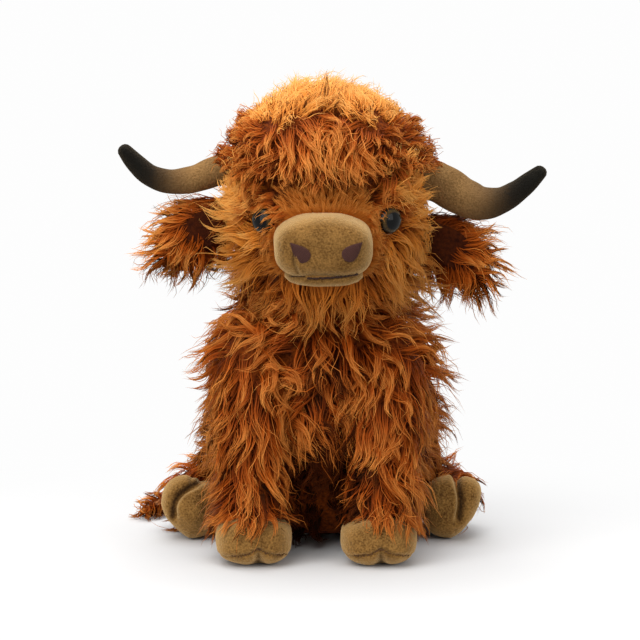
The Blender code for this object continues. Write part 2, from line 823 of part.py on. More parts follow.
def eye_room_profile():
    """Return the profile of the room that an eye and its washer take in the head."""
    profile = eye_profile(SEW_GAP)
    top = -HEAD_WALL
    bottom = top - WASHER_THICKNESS - 2 * SEW_GAP
    inner = SHANK_RADIUS + SEW_GAP
    outer = WASHER_RADIUS + SEW_GAP
    flange = [(inner, top), (outer, top), (outer, bottom), (inner, bottom)]
    return profile[:-2] + flange + profile[-2:]


def make_eyes(builder, materials, skin, filling):
    """Make each eye, its washer and the room that they take in the head."""
    for name, side in SIDES:
        place = eye_matrix(side)
        eye = turned(builder, "eye_" + name, eye_profile(), place, builder.parts,
                     materials["eye_plastic"])
        room = turned(builder, "eye_room_" + name, eye_room_profile(), place, builder.cutters)
        washer = turned(builder, "eye_washer_" + name, washer_profile(), place, builder.parts,
                        materials["washer_plastic"])
        builder.cut(skin, builder.hide(room))
        builder.cut(filling, room)
        builder.hang(eye, "head", neck_pivot())
        builder.hang(washer, "head", neck_pivot())


def rounded_box(builder, name, low, high, corner, collection, material=None):
    """Make a soft box from a cube cage with its edges drawn in and subdivided."""
    thing = builder.box(name, low, high, collection)
    if material is not None:
        thing.data.materials.append(material)
    bevel = thing.modifiers.new("corners", "BEVEL")
    bevel.width = corner
    bevel.segments = 1
    bevel.limit_method = "NONE"
    soft = thing.modifiers.new("soft", "SUBSURF")
    soft.levels = 1
    soft.render_levels = 1
    split = thing.modifiers.new("split", "TRIANGULATE")
    split.quad_method = "FIXED"
    return thing


def muzzle_box(builder, name, inset, collection, material=None):
    """Make the muzzle's soft box, drawn in by an inset."""
    low = (MUZZLE_SHIFT - MUZZLE_HALF_WIDTH + inset, -MUZZLE_FRONT + inset, MUZZLE_LOW + inset)
    high = (MUZZLE_SHIFT + MUZZLE_HALF_WIDTH - inset, -MUZZLE_FRONT + MUZZLE_DEPTH - inset,
            MUZZLE_HIGH - inset)
    corner = (MUZZLE_HIGH - MUZZLE_LOW) * MUZZLE_CORNER_SHARE
    return rounded_box(builder, name, low, high, corner, collection, material)


def lip_box(builder, name, inset, collection, material=None):
    """Make the lower lip's soft box, its top tucked into the muzzle's underside."""
    front = -MUZZLE_FRONT + LIP_SETBACK
    top = MUZZLE_LOW + LIP_TUCK
    low = (MUZZLE_SHIFT - LIP_HALF_WIDTH + inset, front + inset, top - LIP_HEIGHT + inset)
    high = (MUZZLE_SHIFT + LIP_HALF_WIDTH - inset, front + LIP_DEPTH - inset, top - inset)
    corner = LIP_HEIGHT * MUZZLE_CORNER_SHARE
    return rounded_box(builder, name, low, high, corner, collection, material)


def make_face(builder, materials):
    """Make the muzzle, the lower lip, the nostrils, the mouth and the panel above."""
    parts = builder.parts
    cutters = builder.cutters
    near_head = builder.hide(builder.head_form("head_for_face", -SEW_GAP, cutters))
    muzzle = muzzle_box(builder, "muzzle", 0.0, parts, materials["velour"])
    lip = lip_box(builder, "lower_lip", 0.0, parts, materials["velour"])
    near_muzzle = builder.hide(muzzle_box(builder, "muzzle_room", -SEW_GAP, cutters))
    builder.cut(muzzle, near_head)
    builder.cut(lip, near_muzzle, near_head)
    near_lip = builder.hide(lip_box(builder, "lip_room", -SEW_GAP, cutters))
    thread = SEW_GAP + NOSTRIL_THICKNESS
    raised = builder.hide(muzzle_box(builder, "muzzle_raised", -thread, cutters))
    pieces = [muzzle, lip]
    for name, side in SIDES:
        drop = nostril_prism(builder, "nostril_" + name, side, materials["nostril_thread"])
        builder.boolean(drop, raised, "INTERSECT")
        builder.cut(drop, near_muzzle)
        pieces.append(drop)
    rows = []
    for share in MOUTH_SHARES:
        back = MOUTH_SETBACK + MOUTH_CURVE * share ** 2
        rows.append((MUZZLE_SHIFT + MOUTH_HALF_WIDTH * share, -MUZZLE_FRONT + back,
                     MUZZLE_LOW + MOUTH_RISE, STITCH_RADIUS))
    mouth = builder.tube("mouth_stitching", rows, parts, materials["mouth_thread"],
                         resolution=THIN_RESOLUTION)
    builder.cut(mouth, near_muzzle, near_lip, near_head)
    pieces.append(mouth)
    bridge = builder.head_form("nose_bridge", -BRIDGE_THICKNESS, parts, materials["short_pile"])
    low = (MUZZLE_SHIFT - BRIDGE_HALF_WIDTH, -MUZZLE_FRONT, BRIDGE_LOW)
    high = (MUZZLE_SHIFT + BRIDGE_HALF_WIDTH, -HEAD_FORWARD, forelock_edge() - SEW_GAP)
    window = builder.hide(builder.box("bridge_window", low, high, cutters))
    builder.boolean(bridge, window, "INTERSECT")
    builder.cut(bridge, near_head, near_muzzle)
    pieces.append(bridge)
    for piece in pieces:
        builder.hang(piece, "head", neck_pivot())


def nostril_prism(builder, name, side, material):
    """Make a teardrop prism through the muzzle's front, its point up and out."""
    curve = bpy.data.curves.new(name, "CURVE")
    curve.dimensions = "2D"
    curve.fill_mode = "BOTH"
    curve.extrude = MUZZLE_DEPTH / 4
    spline = curve.splines.new("POLY")
    outline = []
    for i in range(BALL_RINGS):
        angle = 2 * math.pi * i / BALL_RINGS
        slim = math.sin(angle / 2)
        outline.append((NOSTRIL_LENGTH / 2 * math.cos(angle),
                        NOSTRIL_WIDTH / 2 * math.sin(angle) * slim))
    spline.points.add(len(outline) - 1)
    for point, (along, across) in zip(spline.points, outline):
        point.co = (along, across, 0.0, 1.0)
    spline.use_cyclic_u = True
    guide = bpy.data.objects.new(name + "_guide", curve)
    builder.cutters.objects.link(guide)
    depsgraph = bpy.context.evaluated_depsgraph_get()
    mesh = bpy.data.meshes.new_from_object(guide.evaluated_get(depsgraph))
    bm = bmesh.new()
    bm.from_mesh(mesh)
    bmesh.ops.remove_doubles(bm, verts=bm.verts, dist=SEW_GAP / 10)
    bpy.data.objects.remove(guide, do_unlink=True)
    bpy.data.meshes.remove(mesh)
    place = Matrix.Translation((MUZZLE_SHIFT + NOSTRIL_OUT * side, -MUZZLE_FRONT,
                                NOSTRIL_HEIGHT))
    mirror = Matrix.Diagonal((side, 1.0, 1.0, 1.0))
    turn = Matrix.Rotation(math.pi / 2, 4, "X") @ Matrix.Rotation(NOSTRIL_TILT, 4, "Z")
    bmesh.ops.transform(bm, matrix=place @ mirror @ turn, verts=bm.verts)
    return link_mesh(name, bm, builder.parts, material)


def make_head(builder, materials, limbs, ears):
    """Make the head's skin and filling, and the forelock panel on the crown."""
    parts = builder.parts
    cutters = builder.cutters
    skin = builder.head_form("head_skin", 0.0, parts, materials["fur"])
    hollow = builder.hide(builder.head_form("head_hollow", HEAD_WALL, cutters))
    filling = builder.head_form("head_stuffing", HEAD_WALL + SEW_GAP, parts, materials["fibre"])
    sockets = [neck_socket(builder, "head_neck_socket")]
    for name in ("horn_left", "horn_right"):
        sockets.append(limbs[name].socket(name + "_socket"))
    for ear in ears:
        sockets.append(ear.socket())
    builder.cut(skin, hollow, *sockets)
    builder.cut(filling, *sockets)
    forelock = builder.head_form("forelock", -FORELOCK_RISE, parts, materials["forelock"])
    near_head = builder.hide(builder.head_form("head_for_forelock", -SEW_GAP, cutters))
    away = forelock_window(builder)
    builder.boolean(forelock, away, "INTERSECT")
    builder.cut(forelock, near_head)
    for name in ("horn_left", "horn_right"):
        room = builder.tube(name + "_room", limbs[name].rows, cutters, inset=-SWING_GAP)
        builder.cut(forelock, builder.hide(room))
    make_eyes(builder, materials, skin, filling)
    for piece in (skin, filling, forelock):
        builder.hang(piece, "head", neck_pivot())


def forelock_edge():
    """Return the height of the forelock's front edge, just over the eyes."""
    return EYE_HEIGHT + EYE_RADIUS + FORELOCK_EYE_GAP


def forelock_window(builder):
    """Make the slanted block that bounds the forelock, low at the front and high behind."""
    front = -HEAD_FORWARD - HEAD_HALF_DEPTH - CUT_OVERRUN
    back = -HEAD_FORWARD + HEAD_HALF_DEPTH + CUT_OVERRUN
    high = HEAD_BASE + HEAD_HEIGHT + CUT_OVERRUN
    edge = forelock_edge()
    low = (HEAD_SHIFT - FORELOCK_HALF_WIDTH, front, edge)
    block = builder.box("forelock_window", low, (HEAD_SHIFT + FORELOCK_HALF_WIDTH, back, high),
                        builder.cutters)
    for vertex in block.data.vertices:
        if vertex.co.z < (edge + high) / 2 and vertex.co.y > -HEAD_FORWARD:
            vertex.co.z = edge + FORELOCK_BACK_RISE
    return builder.hide(block)


class Ear:
    """A drooping leaf of fur with a lining on its front, hinged at its root."""

    def __init__(self, builder, name, side):
        self.builder = builder
        self.name = name
        self.root = ear_root(name, side)
        droop = EAR_SIZES[name]["droop"]
        self.along = Vector((math.cos(droop) * side, 0.0, -math.sin(droop)))
        self.wide = Vector((math.sin(droop) * side, 0.0, math.cos(droop)))
        self.thick = Vector((0.0, 1.0, 0.0))

    def leaf(self, name, inset, offset, collection, material=None, count=EAR_RINGS):
        """Make the leaf drawn in by an inset and moved back by an offset."""
        table = catmull_rom(EAR_SHARES, TABLE_STEPS)
        length = EAR_LENGTH - 2 * inset
        rings = []
        for share in ring_heights(count):
            width, thickness = row_at(table, share)
            centre = self.root + self.along * (inset + length * share) + self.thick * offset
            across = self.wide * (EAR_WIDTH * width / 2 - inset)
            deep = self.thick * (EAR_THICKNESS * thickness / 2 - min(inset, 0.0))
            rings.append(ellipse(centre, across, deep, BALL_RINGS))
        start = self.root + self.along * inset + self.thick * offset
        end = self.root + self.along * (inset + length) + self.thick * offset
        return link_mesh(name, loft(rings, start, end), collection, material)

    def ball(self, name, gap, collection, material=None):
        """Make the ear's root ball, grown by a gap."""
        radii = (EAR_ROOT_RADIUS + gap,) * 3
        return self.builder.ball(name, self.root, radii, collection, material)

    def socket(self):
        """Make the cutter of the socket in the head."""
        return self.builder.hide(self.ball("ear_socket_" + self.name, SOCKET_GAP,
                                           self.builder.cutters))

    def make(self, materials):
        """Make the furred leaf with its root, and the lining on its front."""
        builder = self.builder
        cutters = builder.cutters
        leaf = self.leaf("ear_" + self.name, 0.0, 0.0, builder.parts, materials["fur"])
        away = builder.hide(builder.head_form("head_for_ear_" + self.name, -EAR_GAP, cutters))
        ball = builder.hide(self.ball("ear_ball_" + self.name, 0.0, cutters))
        builder.cut(leaf, away)
        builder.boolean(leaf, ball, "UNION")
        lining = self.leaf("ear_lining_" + self.name, LINING_MARGIN, -LINING_THICKNESS,
                           builder.parts, materials["ear_lining"], EAR_RINGS + 1)
        near = builder.hide(self.leaf("ear_near_" + self.name, -SEW_GAP, 0.0, cutters))
        near_ball = builder.hide(self.ball("ear_near_ball_" + self.name, SEW_GAP, cutters))
        clear = builder.hide(builder.head_form("head_for_lining_" + self.name, -LINING_GAP,
                                               cutters))
        builder.cut(lining, near, near_ball, clear)
        for piece in (leaf, lining):
            builder.hang(piece, "ear_" + self.name, self.root)


def make_forelegs(builder, materials, limbs, floor):
    """Make each foreleg's skin, filling and two-toed hoof."""
    for name, side in SIDES:
        limb = limbs["foreleg_" + name]
        pieces = make_stuffed(builder, limb, "foreleg", name, FORELEG_WALL, materials)
        hoof = make_front_hoof(builder, limb, name, side, materials["velour"])
        builder.cut(hoof, floor)
        for piece in pieces + [hoof]:
            builder.hang(piece, "foreleg_" + name, limb.root)


def make_stuffed(builder, limb, kind, name, wall, materials):
    """Make a limb's skin, open at its root, and the filling inside it."""
    cutters = builder.cutters
    skin = limb.solid(kind + "_skin_" + name, builder.parts, materials["fur"])
    hollow = builder.hide(limb.solid(kind + "_hollow_" + name, cutters, wall=wall))
    filling = limb.solid(kind + "_stuffing_" + name, builder.parts, materials["fibre"],
                         wall, SEW_GAP)
    inward = (limb.root - Vector(limb.rows[1][:3])).normalized()
    mouth = builder.ball(kind + "_mouth_" + name, limb.root + inward * limb.root_radius,
                         (wall * MOUTH_RADIUS_SHARE,) * 3, cutters)
    builder.cut(skin, hollow, builder.hide(mouth))
    return [skin, filling]


def make_front_hoof(builder, limb, name, side, material):
    """Make a front hoof of two toes, cupped round the end of the leg."""
    foot = FORELEG_SIZES[name]["foot_out"] * side
    spread = HOOF_HALF_WIDTH * TOE_SPREAD_SHARE
    sizes = (HOOF_HALF_WIDTH * TOE_WIDTH_SHARE, HOOF_HALF_DEPTH, HOOF_HEIGHT / 2 + FLAT_DEPTH)
    height = HOOF_HEIGHT * HOOF_CENTRE_SHARE
    hoof = builder.ball("front_hoof_" + name, Vector((foot - spread, -HOOF_FORWARD, height)),
                        sizes, builder.parts, material, plain=True)
    toe = builder.ball("front_toe_" + name, Vector((foot + spread, -HOOF_FORWARD, height)),
                       sizes, builder.cutters, plain=True)
    builder.boolean(hoof, builder.hide(toe), "UNION")
    leg = builder.tube("foreleg_end_" + name, limb.rows, builder.cutters, inset=-SEW_GAP)
    return builder.cut(hoof, builder.hide(leg))


def make_hind_legs(builder, materials, limbs, floor):
    """Make each hind leg's skin, filling and hoof, whose sole faces the front."""
    for name, side in SIDES:
        limb = limbs["hind_leg_" + name]
        pieces = make_stuffed(builder, limb, "hind_leg", name, HIND_WALL, materials)
        hoof = make_hind_hoof(builder, limb, name, side, materials["velour"])
        builder.cut(hoof, floor)
        for piece in pieces + [hoof]:
            builder.hang(piece, "hind_leg_" + name, limb.root)


def make_hind_hoof(builder, limb, name, side, material):
    """Make a hind hoof of two toes side by side, cupped round the end of the leg."""
    inner = HIND_HOOF_OUT - HIND_HOOF_HALF_WIDTH
    toes = []
    for across, width, height in HIND_TOE_SHARES[name]:
        out = inner + 2 * HIND_HOOF_HALF_WIDTH * across
        half = HIND_HOOF_HEIGHT * height / 2 + FLAT_DEPTH / 2
        centre = Vector((out * side, HIND_HOOF_BACK, half - FLAT_DEPTH))
        toes.append((centre, (2 * HIND_HOOF_HALF_WIDTH * width, HIND_HOOF_HALF_DEPTH, half)))
    hoof = builder.ball("hind_hoof_" + name, *toes[0], builder.parts, material, plain=True)
    toe = builder.ball("hind_toe_" + name, *toes[1], builder.cutters, plain=True)
    builder.boolean(hoof, builder.hide(toe), "UNION")
    leg = builder.tube("hind_leg_end_" + name, limb.rows, builder.cutters, inset=-SEW_GAP)
    return builder.cut(hoof, builder.hide(leg))


def make_tail(builder, materials, limbs, floor):
    """Make the tail's tube and the tuft that its end goes into."""
    limb = limbs["tail"]
    tail = limb.solid("tail", builder.parts, materials["fur"])
    tuft = builder.tube("tail_tuft", tuft_rows(), builder.parts, materials["forelock"])
    near = builder.hide(builder.tube("tail_near", limb.rows, builder.cutters, inset=-SEW_GAP))
    builder.cut(tail, floor)
    builder.cut(tuft, near, floor)
    for piece in (tail, tuft):
        builder.hang(piece, "tail", limb.root)


def make_horns(builder, materials, limbs):
    """Make the two horns, each turning on its own root."""
    for name, side in SIDES:
        limb = limbs["horn_" + name]
        horn = limb.solid("horn_" + name, builder.parts, materials["horn_velour"])
        builder.hang(horn, "horn_" + name, limb.root)


def main():
    """Build the cow."""
    clear_scene()
    builder = Builder()
    materials = make_materials()
    floor = make_floor(builder)
    limbs = make_limbs(builder)
    ears = [Ear(builder, name, side) for name, side in SIDES]
    make_torso(builder, materials, limbs, floor)
    make_neck(builder, materials)
    make_head(builder, materials, limbs, ears)
    make_face(builder, materials)
    make_horns(builder, materials, limbs)
    for ear in ears:
        ear.make(materials)
    make_forelegs(builder, materials, limbs, floor)
    make_hind_legs(builder, materials, limbs, floor)
    make_tail(builder, materials, limbs, floor)


main()
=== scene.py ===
import json
import logging
import math
from collections.abc import Callable
from dataclasses import dataclass, field
from enum import Enum

import bpy
import numpy as np
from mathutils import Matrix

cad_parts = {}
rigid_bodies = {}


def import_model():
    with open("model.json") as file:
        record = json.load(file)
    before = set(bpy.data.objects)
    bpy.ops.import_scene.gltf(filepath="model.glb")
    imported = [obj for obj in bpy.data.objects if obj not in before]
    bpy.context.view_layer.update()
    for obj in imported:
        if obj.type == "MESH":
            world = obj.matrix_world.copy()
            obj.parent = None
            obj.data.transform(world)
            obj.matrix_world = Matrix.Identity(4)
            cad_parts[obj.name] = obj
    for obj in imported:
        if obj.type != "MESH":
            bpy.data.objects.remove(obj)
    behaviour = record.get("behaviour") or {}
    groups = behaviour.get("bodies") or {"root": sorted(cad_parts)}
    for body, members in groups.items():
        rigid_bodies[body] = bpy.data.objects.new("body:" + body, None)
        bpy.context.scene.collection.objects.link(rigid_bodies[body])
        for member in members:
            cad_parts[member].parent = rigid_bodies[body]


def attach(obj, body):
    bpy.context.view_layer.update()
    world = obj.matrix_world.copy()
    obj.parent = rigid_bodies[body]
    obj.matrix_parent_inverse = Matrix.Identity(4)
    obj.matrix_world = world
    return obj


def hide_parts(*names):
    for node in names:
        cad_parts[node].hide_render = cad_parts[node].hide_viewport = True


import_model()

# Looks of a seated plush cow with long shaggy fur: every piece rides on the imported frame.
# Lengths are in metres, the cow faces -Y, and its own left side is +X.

LOG = logging.getLogger("plush_cow")

UV_NAME = "OFBake"
SEED = 41

# Camera: the photograph's frame, its scale and its height on the object
IMAGE_SIDE = 640
PIXEL_SIZE = 0.00063
CAMERA_DISTANCE = 3.0
CAMERA_ELEVATION = math.radians(10.0)
CAMERA_TARGET = (0.0, 0.0, 0.1409)
SENSOR_WIDTH = 36.0

# Clearances: how deep the fur's backing lies, and what stays between a piece and the floor
SKIN_INSET = 0.0055
LEG_INSET = 0.004
FLOOR_GAP = 0.0004
LOCK_GAP = 0.0015
STRAND_GAP = 0.0007

# Fur: points along a lock, a strand's share of its own shading, and the golden turn's factor
GUIDE_POINTS = 13
OWN_NORMAL = 0.35
GOLDEN = 1 + math.sqrt(5)

# The attribute that says how much painted shade a fold, groove or seam gets
PAINTED_SHADE_ATTRIBUTE = "crease"

# Short names for the types that are used most
Array = np.ndarray
Piece = bpy.types.Object
Tree = bpy.types.NodeTree
Node = bpy.types.Node
Socket = bpy.types.NodeSocket
Rows = tuple[tuple[float, ...], ...]
Field = Callable[[Array], Array]
Mask = Callable[[Array, Array], Array]


class Side(Enum):
    """The cow's own sides, with the sign of X on each."""

    LEFT = 1.0
    RIGHT = -1.0

    @property
    def word(self) -> str:
        """The side's name as it stands in the nodes' names."""
        return self.name.lower()


class Comb(Enum):
    """How the locks of a coat lie."""

    DOWN = "down"
    SPREAD = "spread"
    WHORL = "whorl"
    OUT = "out"


def unit(vectors: Array) -> Array:
    """Each vector over its own length.

    Args:
        vectors: any array whose last axis is X, Y, Z.

    Returns:
        The array with each vector of length one.
    """
    length = np.linalg.norm(vectors, axis=-1, keepdims=True)
    return vectors / np.maximum(length, 1e-9)


def smooth_rows(rows: Array, steps: int) -> Array:
    """A Catmull-Rom curve through rows: each point is a cubic of the four rows round it.

    Args:
        rows: the rows to pass through.
        steps: how many points for each gap between rows.

    Returns:
        The rows of the curve, the last of them included.
    """
    rows = np.asarray(rows, dtype=float)
    padded = np.vstack([rows[:1], rows, rows[-1:]])
    a, b, c, d = (padded[i:len(rows) - 1 + i, None, :] for i in range(4))
    t = (np.arange(steps) / steps)[None, :, None]
    curve = 2 * b + (c - a) * t + (2 * a - 5 * b + 4 * c - d) * t**2
    curve = (curve + (3 * b - a - 3 * c + d) * t**3) / 2
    return np.vstack([curve.reshape(-1, rows.shape[1]), rows[-1:]])


def ripple(points: Array, size: float, seed: int) -> Array:
    """Smooth noise: the mean of eight sine waves that run in random directions.

    Args:
        points: places in metres.
        size: the length of one wave.
        seed: picks the directions.

    Returns:
        A number for each point, mostly between -1 and 1.
    """
    rng = np.random.default_rng(seed)
    ways = unit(rng.normal(size=(8, 3))) * rng.uniform(0.6, 1.6, (8, 1))
    phase = rng.uniform(0, 2 * math.pi, 8)
    waves = np.sin(points @ ways.T * (2 * math.pi / size) + phase)
    return waves.mean(axis=-1) * 1.9


def make_piece(name: str, points: Array, faces: list[Array], uv: Array | None = None) -> Piece:
    """A mesh object from whole arrays of points and faces.

    Args:
        name: the piece's name.
        points: the vertices, one row each.
        faces: arrays of corner numbers, each of one row a face.
        uv: a place on the pattern for each vertex, where the piece has one.

    Returns:
        The object, linked to the scene.
    """
    mesh = bpy.data.meshes.new(name)
    corners = np.concatenate([f.ravel() for f in faces]).astype(np.int32)
    totals = np.concatenate([np.full(len(f), f.shape[1]) for f in faces]).astype(np.int32)
    starts = np.concatenate([[0], np.cumsum(totals)[:-1]]).astype(np.int32)
    mesh.vertices.add(len(points))
    mesh.vertices.foreach_set("co", points.astype(np.float32).ravel())
    mesh.loops.add(len(corners))
    mesh.loops.foreach_set("vertex_index", corners)
    mesh.polygons.add(len(totals))
    mesh.polygons.foreach_set("loop_start", starts)
    mesh.polygons.foreach_set("loop_total", totals)
    mesh.polygons.foreach_set("use_smooth", np.ones(len(totals), dtype=bool))
    mesh.update(calc_edges=True)
    if uv is not None:
        layer = mesh.uv_layers.new(name=UV_NAME)
        layer.data.foreach_set("uv", uv[corners].astype(np.float32).ravel())
    mesh.validate()
    piece = bpy.data.objects.new(name, mesh)
    bpy.context.scene.collection.objects.link(piece)
    return piece


def closed_faces(rings: int, sides: int) -> list[Array]:
    """Faces of a form made of rings, with one vertex more before them and one after.

    Args:
        rings: how many rings there are.
        sides: how many vertices are in each.

    Returns:
        The quads between rings, and the triangles at both poles.
    """
    ring = 1 + np.arange(rings - 1)[:, None] * sides
    here = np.arange(sides)[None, :]
    there = (here + 1) % sides
    quads = np.stack([ring + here, ring + there, ring + sides + there, ring + sides + here], -1)
    last_ring = 1 + (rings - 1) * sides
    low = np.stack([np.zeros(sides, dtype=int), 1 + there[0], 1 + here[0]], -1)
    pole = 1 + rings * sides
    high = np.stack([np.full(sides, pole), last_ring + here[0], last_ring + there[0]], -1)
    return [quads.reshape(-1, 4), low, high]


def grid_ways(sides: int, rings: int) -> Array:
    """Unit vectors for each latitude and longitude, from the pole below to the one above.

    Args:
        sides: how many longitudes.
        rings: how many latitudes.

    Returns:
        The vectors, with the poles first and last.
    """
    tilt = math.pi * (np.arange(rings) + 1) / (rings + 1)
    turn = 2 * math.pi * np.arange(sides) / sides
    tilt, turn = np.meshgrid(tilt, turn, indexing="ij")
    ways = np.stack([np.sin(tilt) * np.cos(turn), np.sin(tilt) * np.sin(turn),
                     -np.cos(tilt)], -1).reshape(-1, 3)
    return np.vstack([[[0, 0, -1.0]], ways, [[0, 0, 1.0]]])


def spiral_ways(count: int, shift: Array | float) -> Array:
    """Unit vectors on a spiral of equal areas, each a golden turn on from the last.

    Args:
        count: how many.
        shift: a turn to add to each.

    Returns:
        The vectors.
    """
    number = np.arange(count) + 0.5
    height = 1 - 2 * number / count
    turn = math.pi * GOLDEN * number + shift
    flat = np.sqrt(1 - height**2)
    return np.stack([flat * np.cos(turn), flat * np.sin(turn), height], -1)


class Rounded:
    """What the forms share that every ray from their middle leaves once."""

    def outward(self, points: Array) -> Array:
        """The way out of the form at each point, from its middle."""
        return unit(points - self.centre())

    def push_out(self, points: Array, gap: float) -> Array:
        """Points moved out along their ray until they clear the surface by a gap.

        Args:
            points: places in metres.
            gap: the clearance.

        Returns:
            The points, moved where they were too close.
        """
        away = points - self.centre()
        length = np.linalg.norm(away, axis=-1)
        ways = unit(away)
        return self.centre() + ways * np.maximum(length, self.reach(ways, gap))[..., None]


@dataclass(frozen=True)
class Loft(Rounded):
    """A rounded form of stacked ellipses, which every ray from its middle leaves once."""

    low: float
    high: float
    half_width: float
    half_depth: float
    middle: tuple[float, float]
    lean: float
    shares: Rows

    def centre(self) -> Array:
        """The point in the middle of the form."""
        back = self.middle[1] - self.lean / 2
        return np.array([self.middle[0], back, (self.low + self.high) / 2])

    def inside(self, points: Array, grow: float) -> Array:
        """Whether points are inside the form grown on all sides.

        The half sizes at a height are read from the shares by the angle whose cosine is the
        height's place between the poles, so the ends are round.

        Args:
            points: places in metres.
            grow: how much larger the form is on each side.

        Returns:
            True for each point inside.
        """
        rows = smooth_rows(np.array(self.shares), 6)
        turn = np.arccos(np.clip(1 - 2 * rows[:, 0], -1, 1))
        share = (points[..., 2] - self.low + grow) / (self.high - self.low + 2 * grow)
        place = np.arccos(np.clip(1 - 2 * share, -1, 1))
        width = np.interp(place, turn, rows[:, 1]) * self.half_width + grow
        depth = np.interp(place, turn, rows[:, 2]) * self.half_depth + grow
        back = self.middle[1] - np.interp(place, turn, rows[:, 3]) * self.lean
        across = (points[..., 0] - self.middle[0]) / np.maximum(width, 1e-5)
        along = (points[..., 1] - back) / np.maximum(depth, 1e-5)
        return (across**2 + along**2 < 1) & (share > 0) & (share < 1)

    def reach(self, ways: Array, grow: float = 0.0) -> Array:
        """How far the surface is from the middle along each way, by halving an interval.

        Args:
            ways: unit vectors.
            grow: how much larger the form is on each side.

        Returns:
            The distances, one for each way.
        """
        near = np.zeros(ways.shape[:-1])
        far = np.full(ways.shape[:-1], 0.16)
        for _ in range(15):
            half = (near + far) / 2
            held = self.inside(self.centre() + ways * half[..., None], grow)
            near = np.where(held, half, near)
            far = np.where(held, far, half)
        return near

    def normals(self, ways: Array, grow: float) -> Array:
        """Surface normals: the cross product of two short steps along the surface.

        Args:
            ways: unit vectors from the middle.
            grow: how much larger the form is on each side.

        Returns:
            Unit normals that point out.
        """
        side = unit(np.cross(ways, np.array([0.31, 0.17, 0.93])))
        other = np.cross(ways, side)
        step = 0.05
        steps = [unit(ways + way * step) for way in (side, -side, other, -other)]
        at = [way * self.reach(way, grow)[..., None] for way in steps]
        normal = unit(np.cross(at[0] - at[1], at[2] - at[3]))
        return normal * np.sign((normal * ways).sum(-1, keepdims=True))

    def roots(self, spacing: float, grow: float, rng: np.random.Generator) -> tuple[Array, Array]:
        """Evenly spread places: a spiral of equal areas on a ball, carried to the surface.

        Args:
            spacing: the distance between neighbours.
            grow: how much larger the surface is than the form.
            rng: moves each place a little.

        Returns:
            The places and the normals there.
        """
        across = (self.half_width + self.half_depth + (self.high - self.low) / 2) / 3 + grow
        count = int(4 * math.pi * across**2 / spacing**2)
        ways = spiral_ways(count, 0.0)
        ways = unit(ways + rng.normal(size=ways.shape) * spacing * 0.28 / across)
        points = self.centre() + ways * self.reach(ways, grow)[..., None]
        return points, self.normals(ways, grow)

    def skin(self, name: str, inset: float | Field, sides: int = 56, rings: int = 40) -> Piece:
        """The closed surface: a ray from the middle for each latitude and longitude.

        Args:
            name: the piece's name.
            inset: how much smaller it is than the form, or what says it for each point.
            sides: vertices round it.
            rings: rings from pole to pole.

        Returns:
            The object.
        """
        ways = grid_ways(sides, rings)
        if callable(inset):
            inset = inset(self.centre() + ways * self.reach(ways)[..., None])
        points = self.centre() + ways * self.reach(ways, -inset)[..., None]
        points[:, 2] = np.maximum(points[:, 2], FLOOR_GAP)
        return make_piece(name, points, closed_faces(rings, sides))


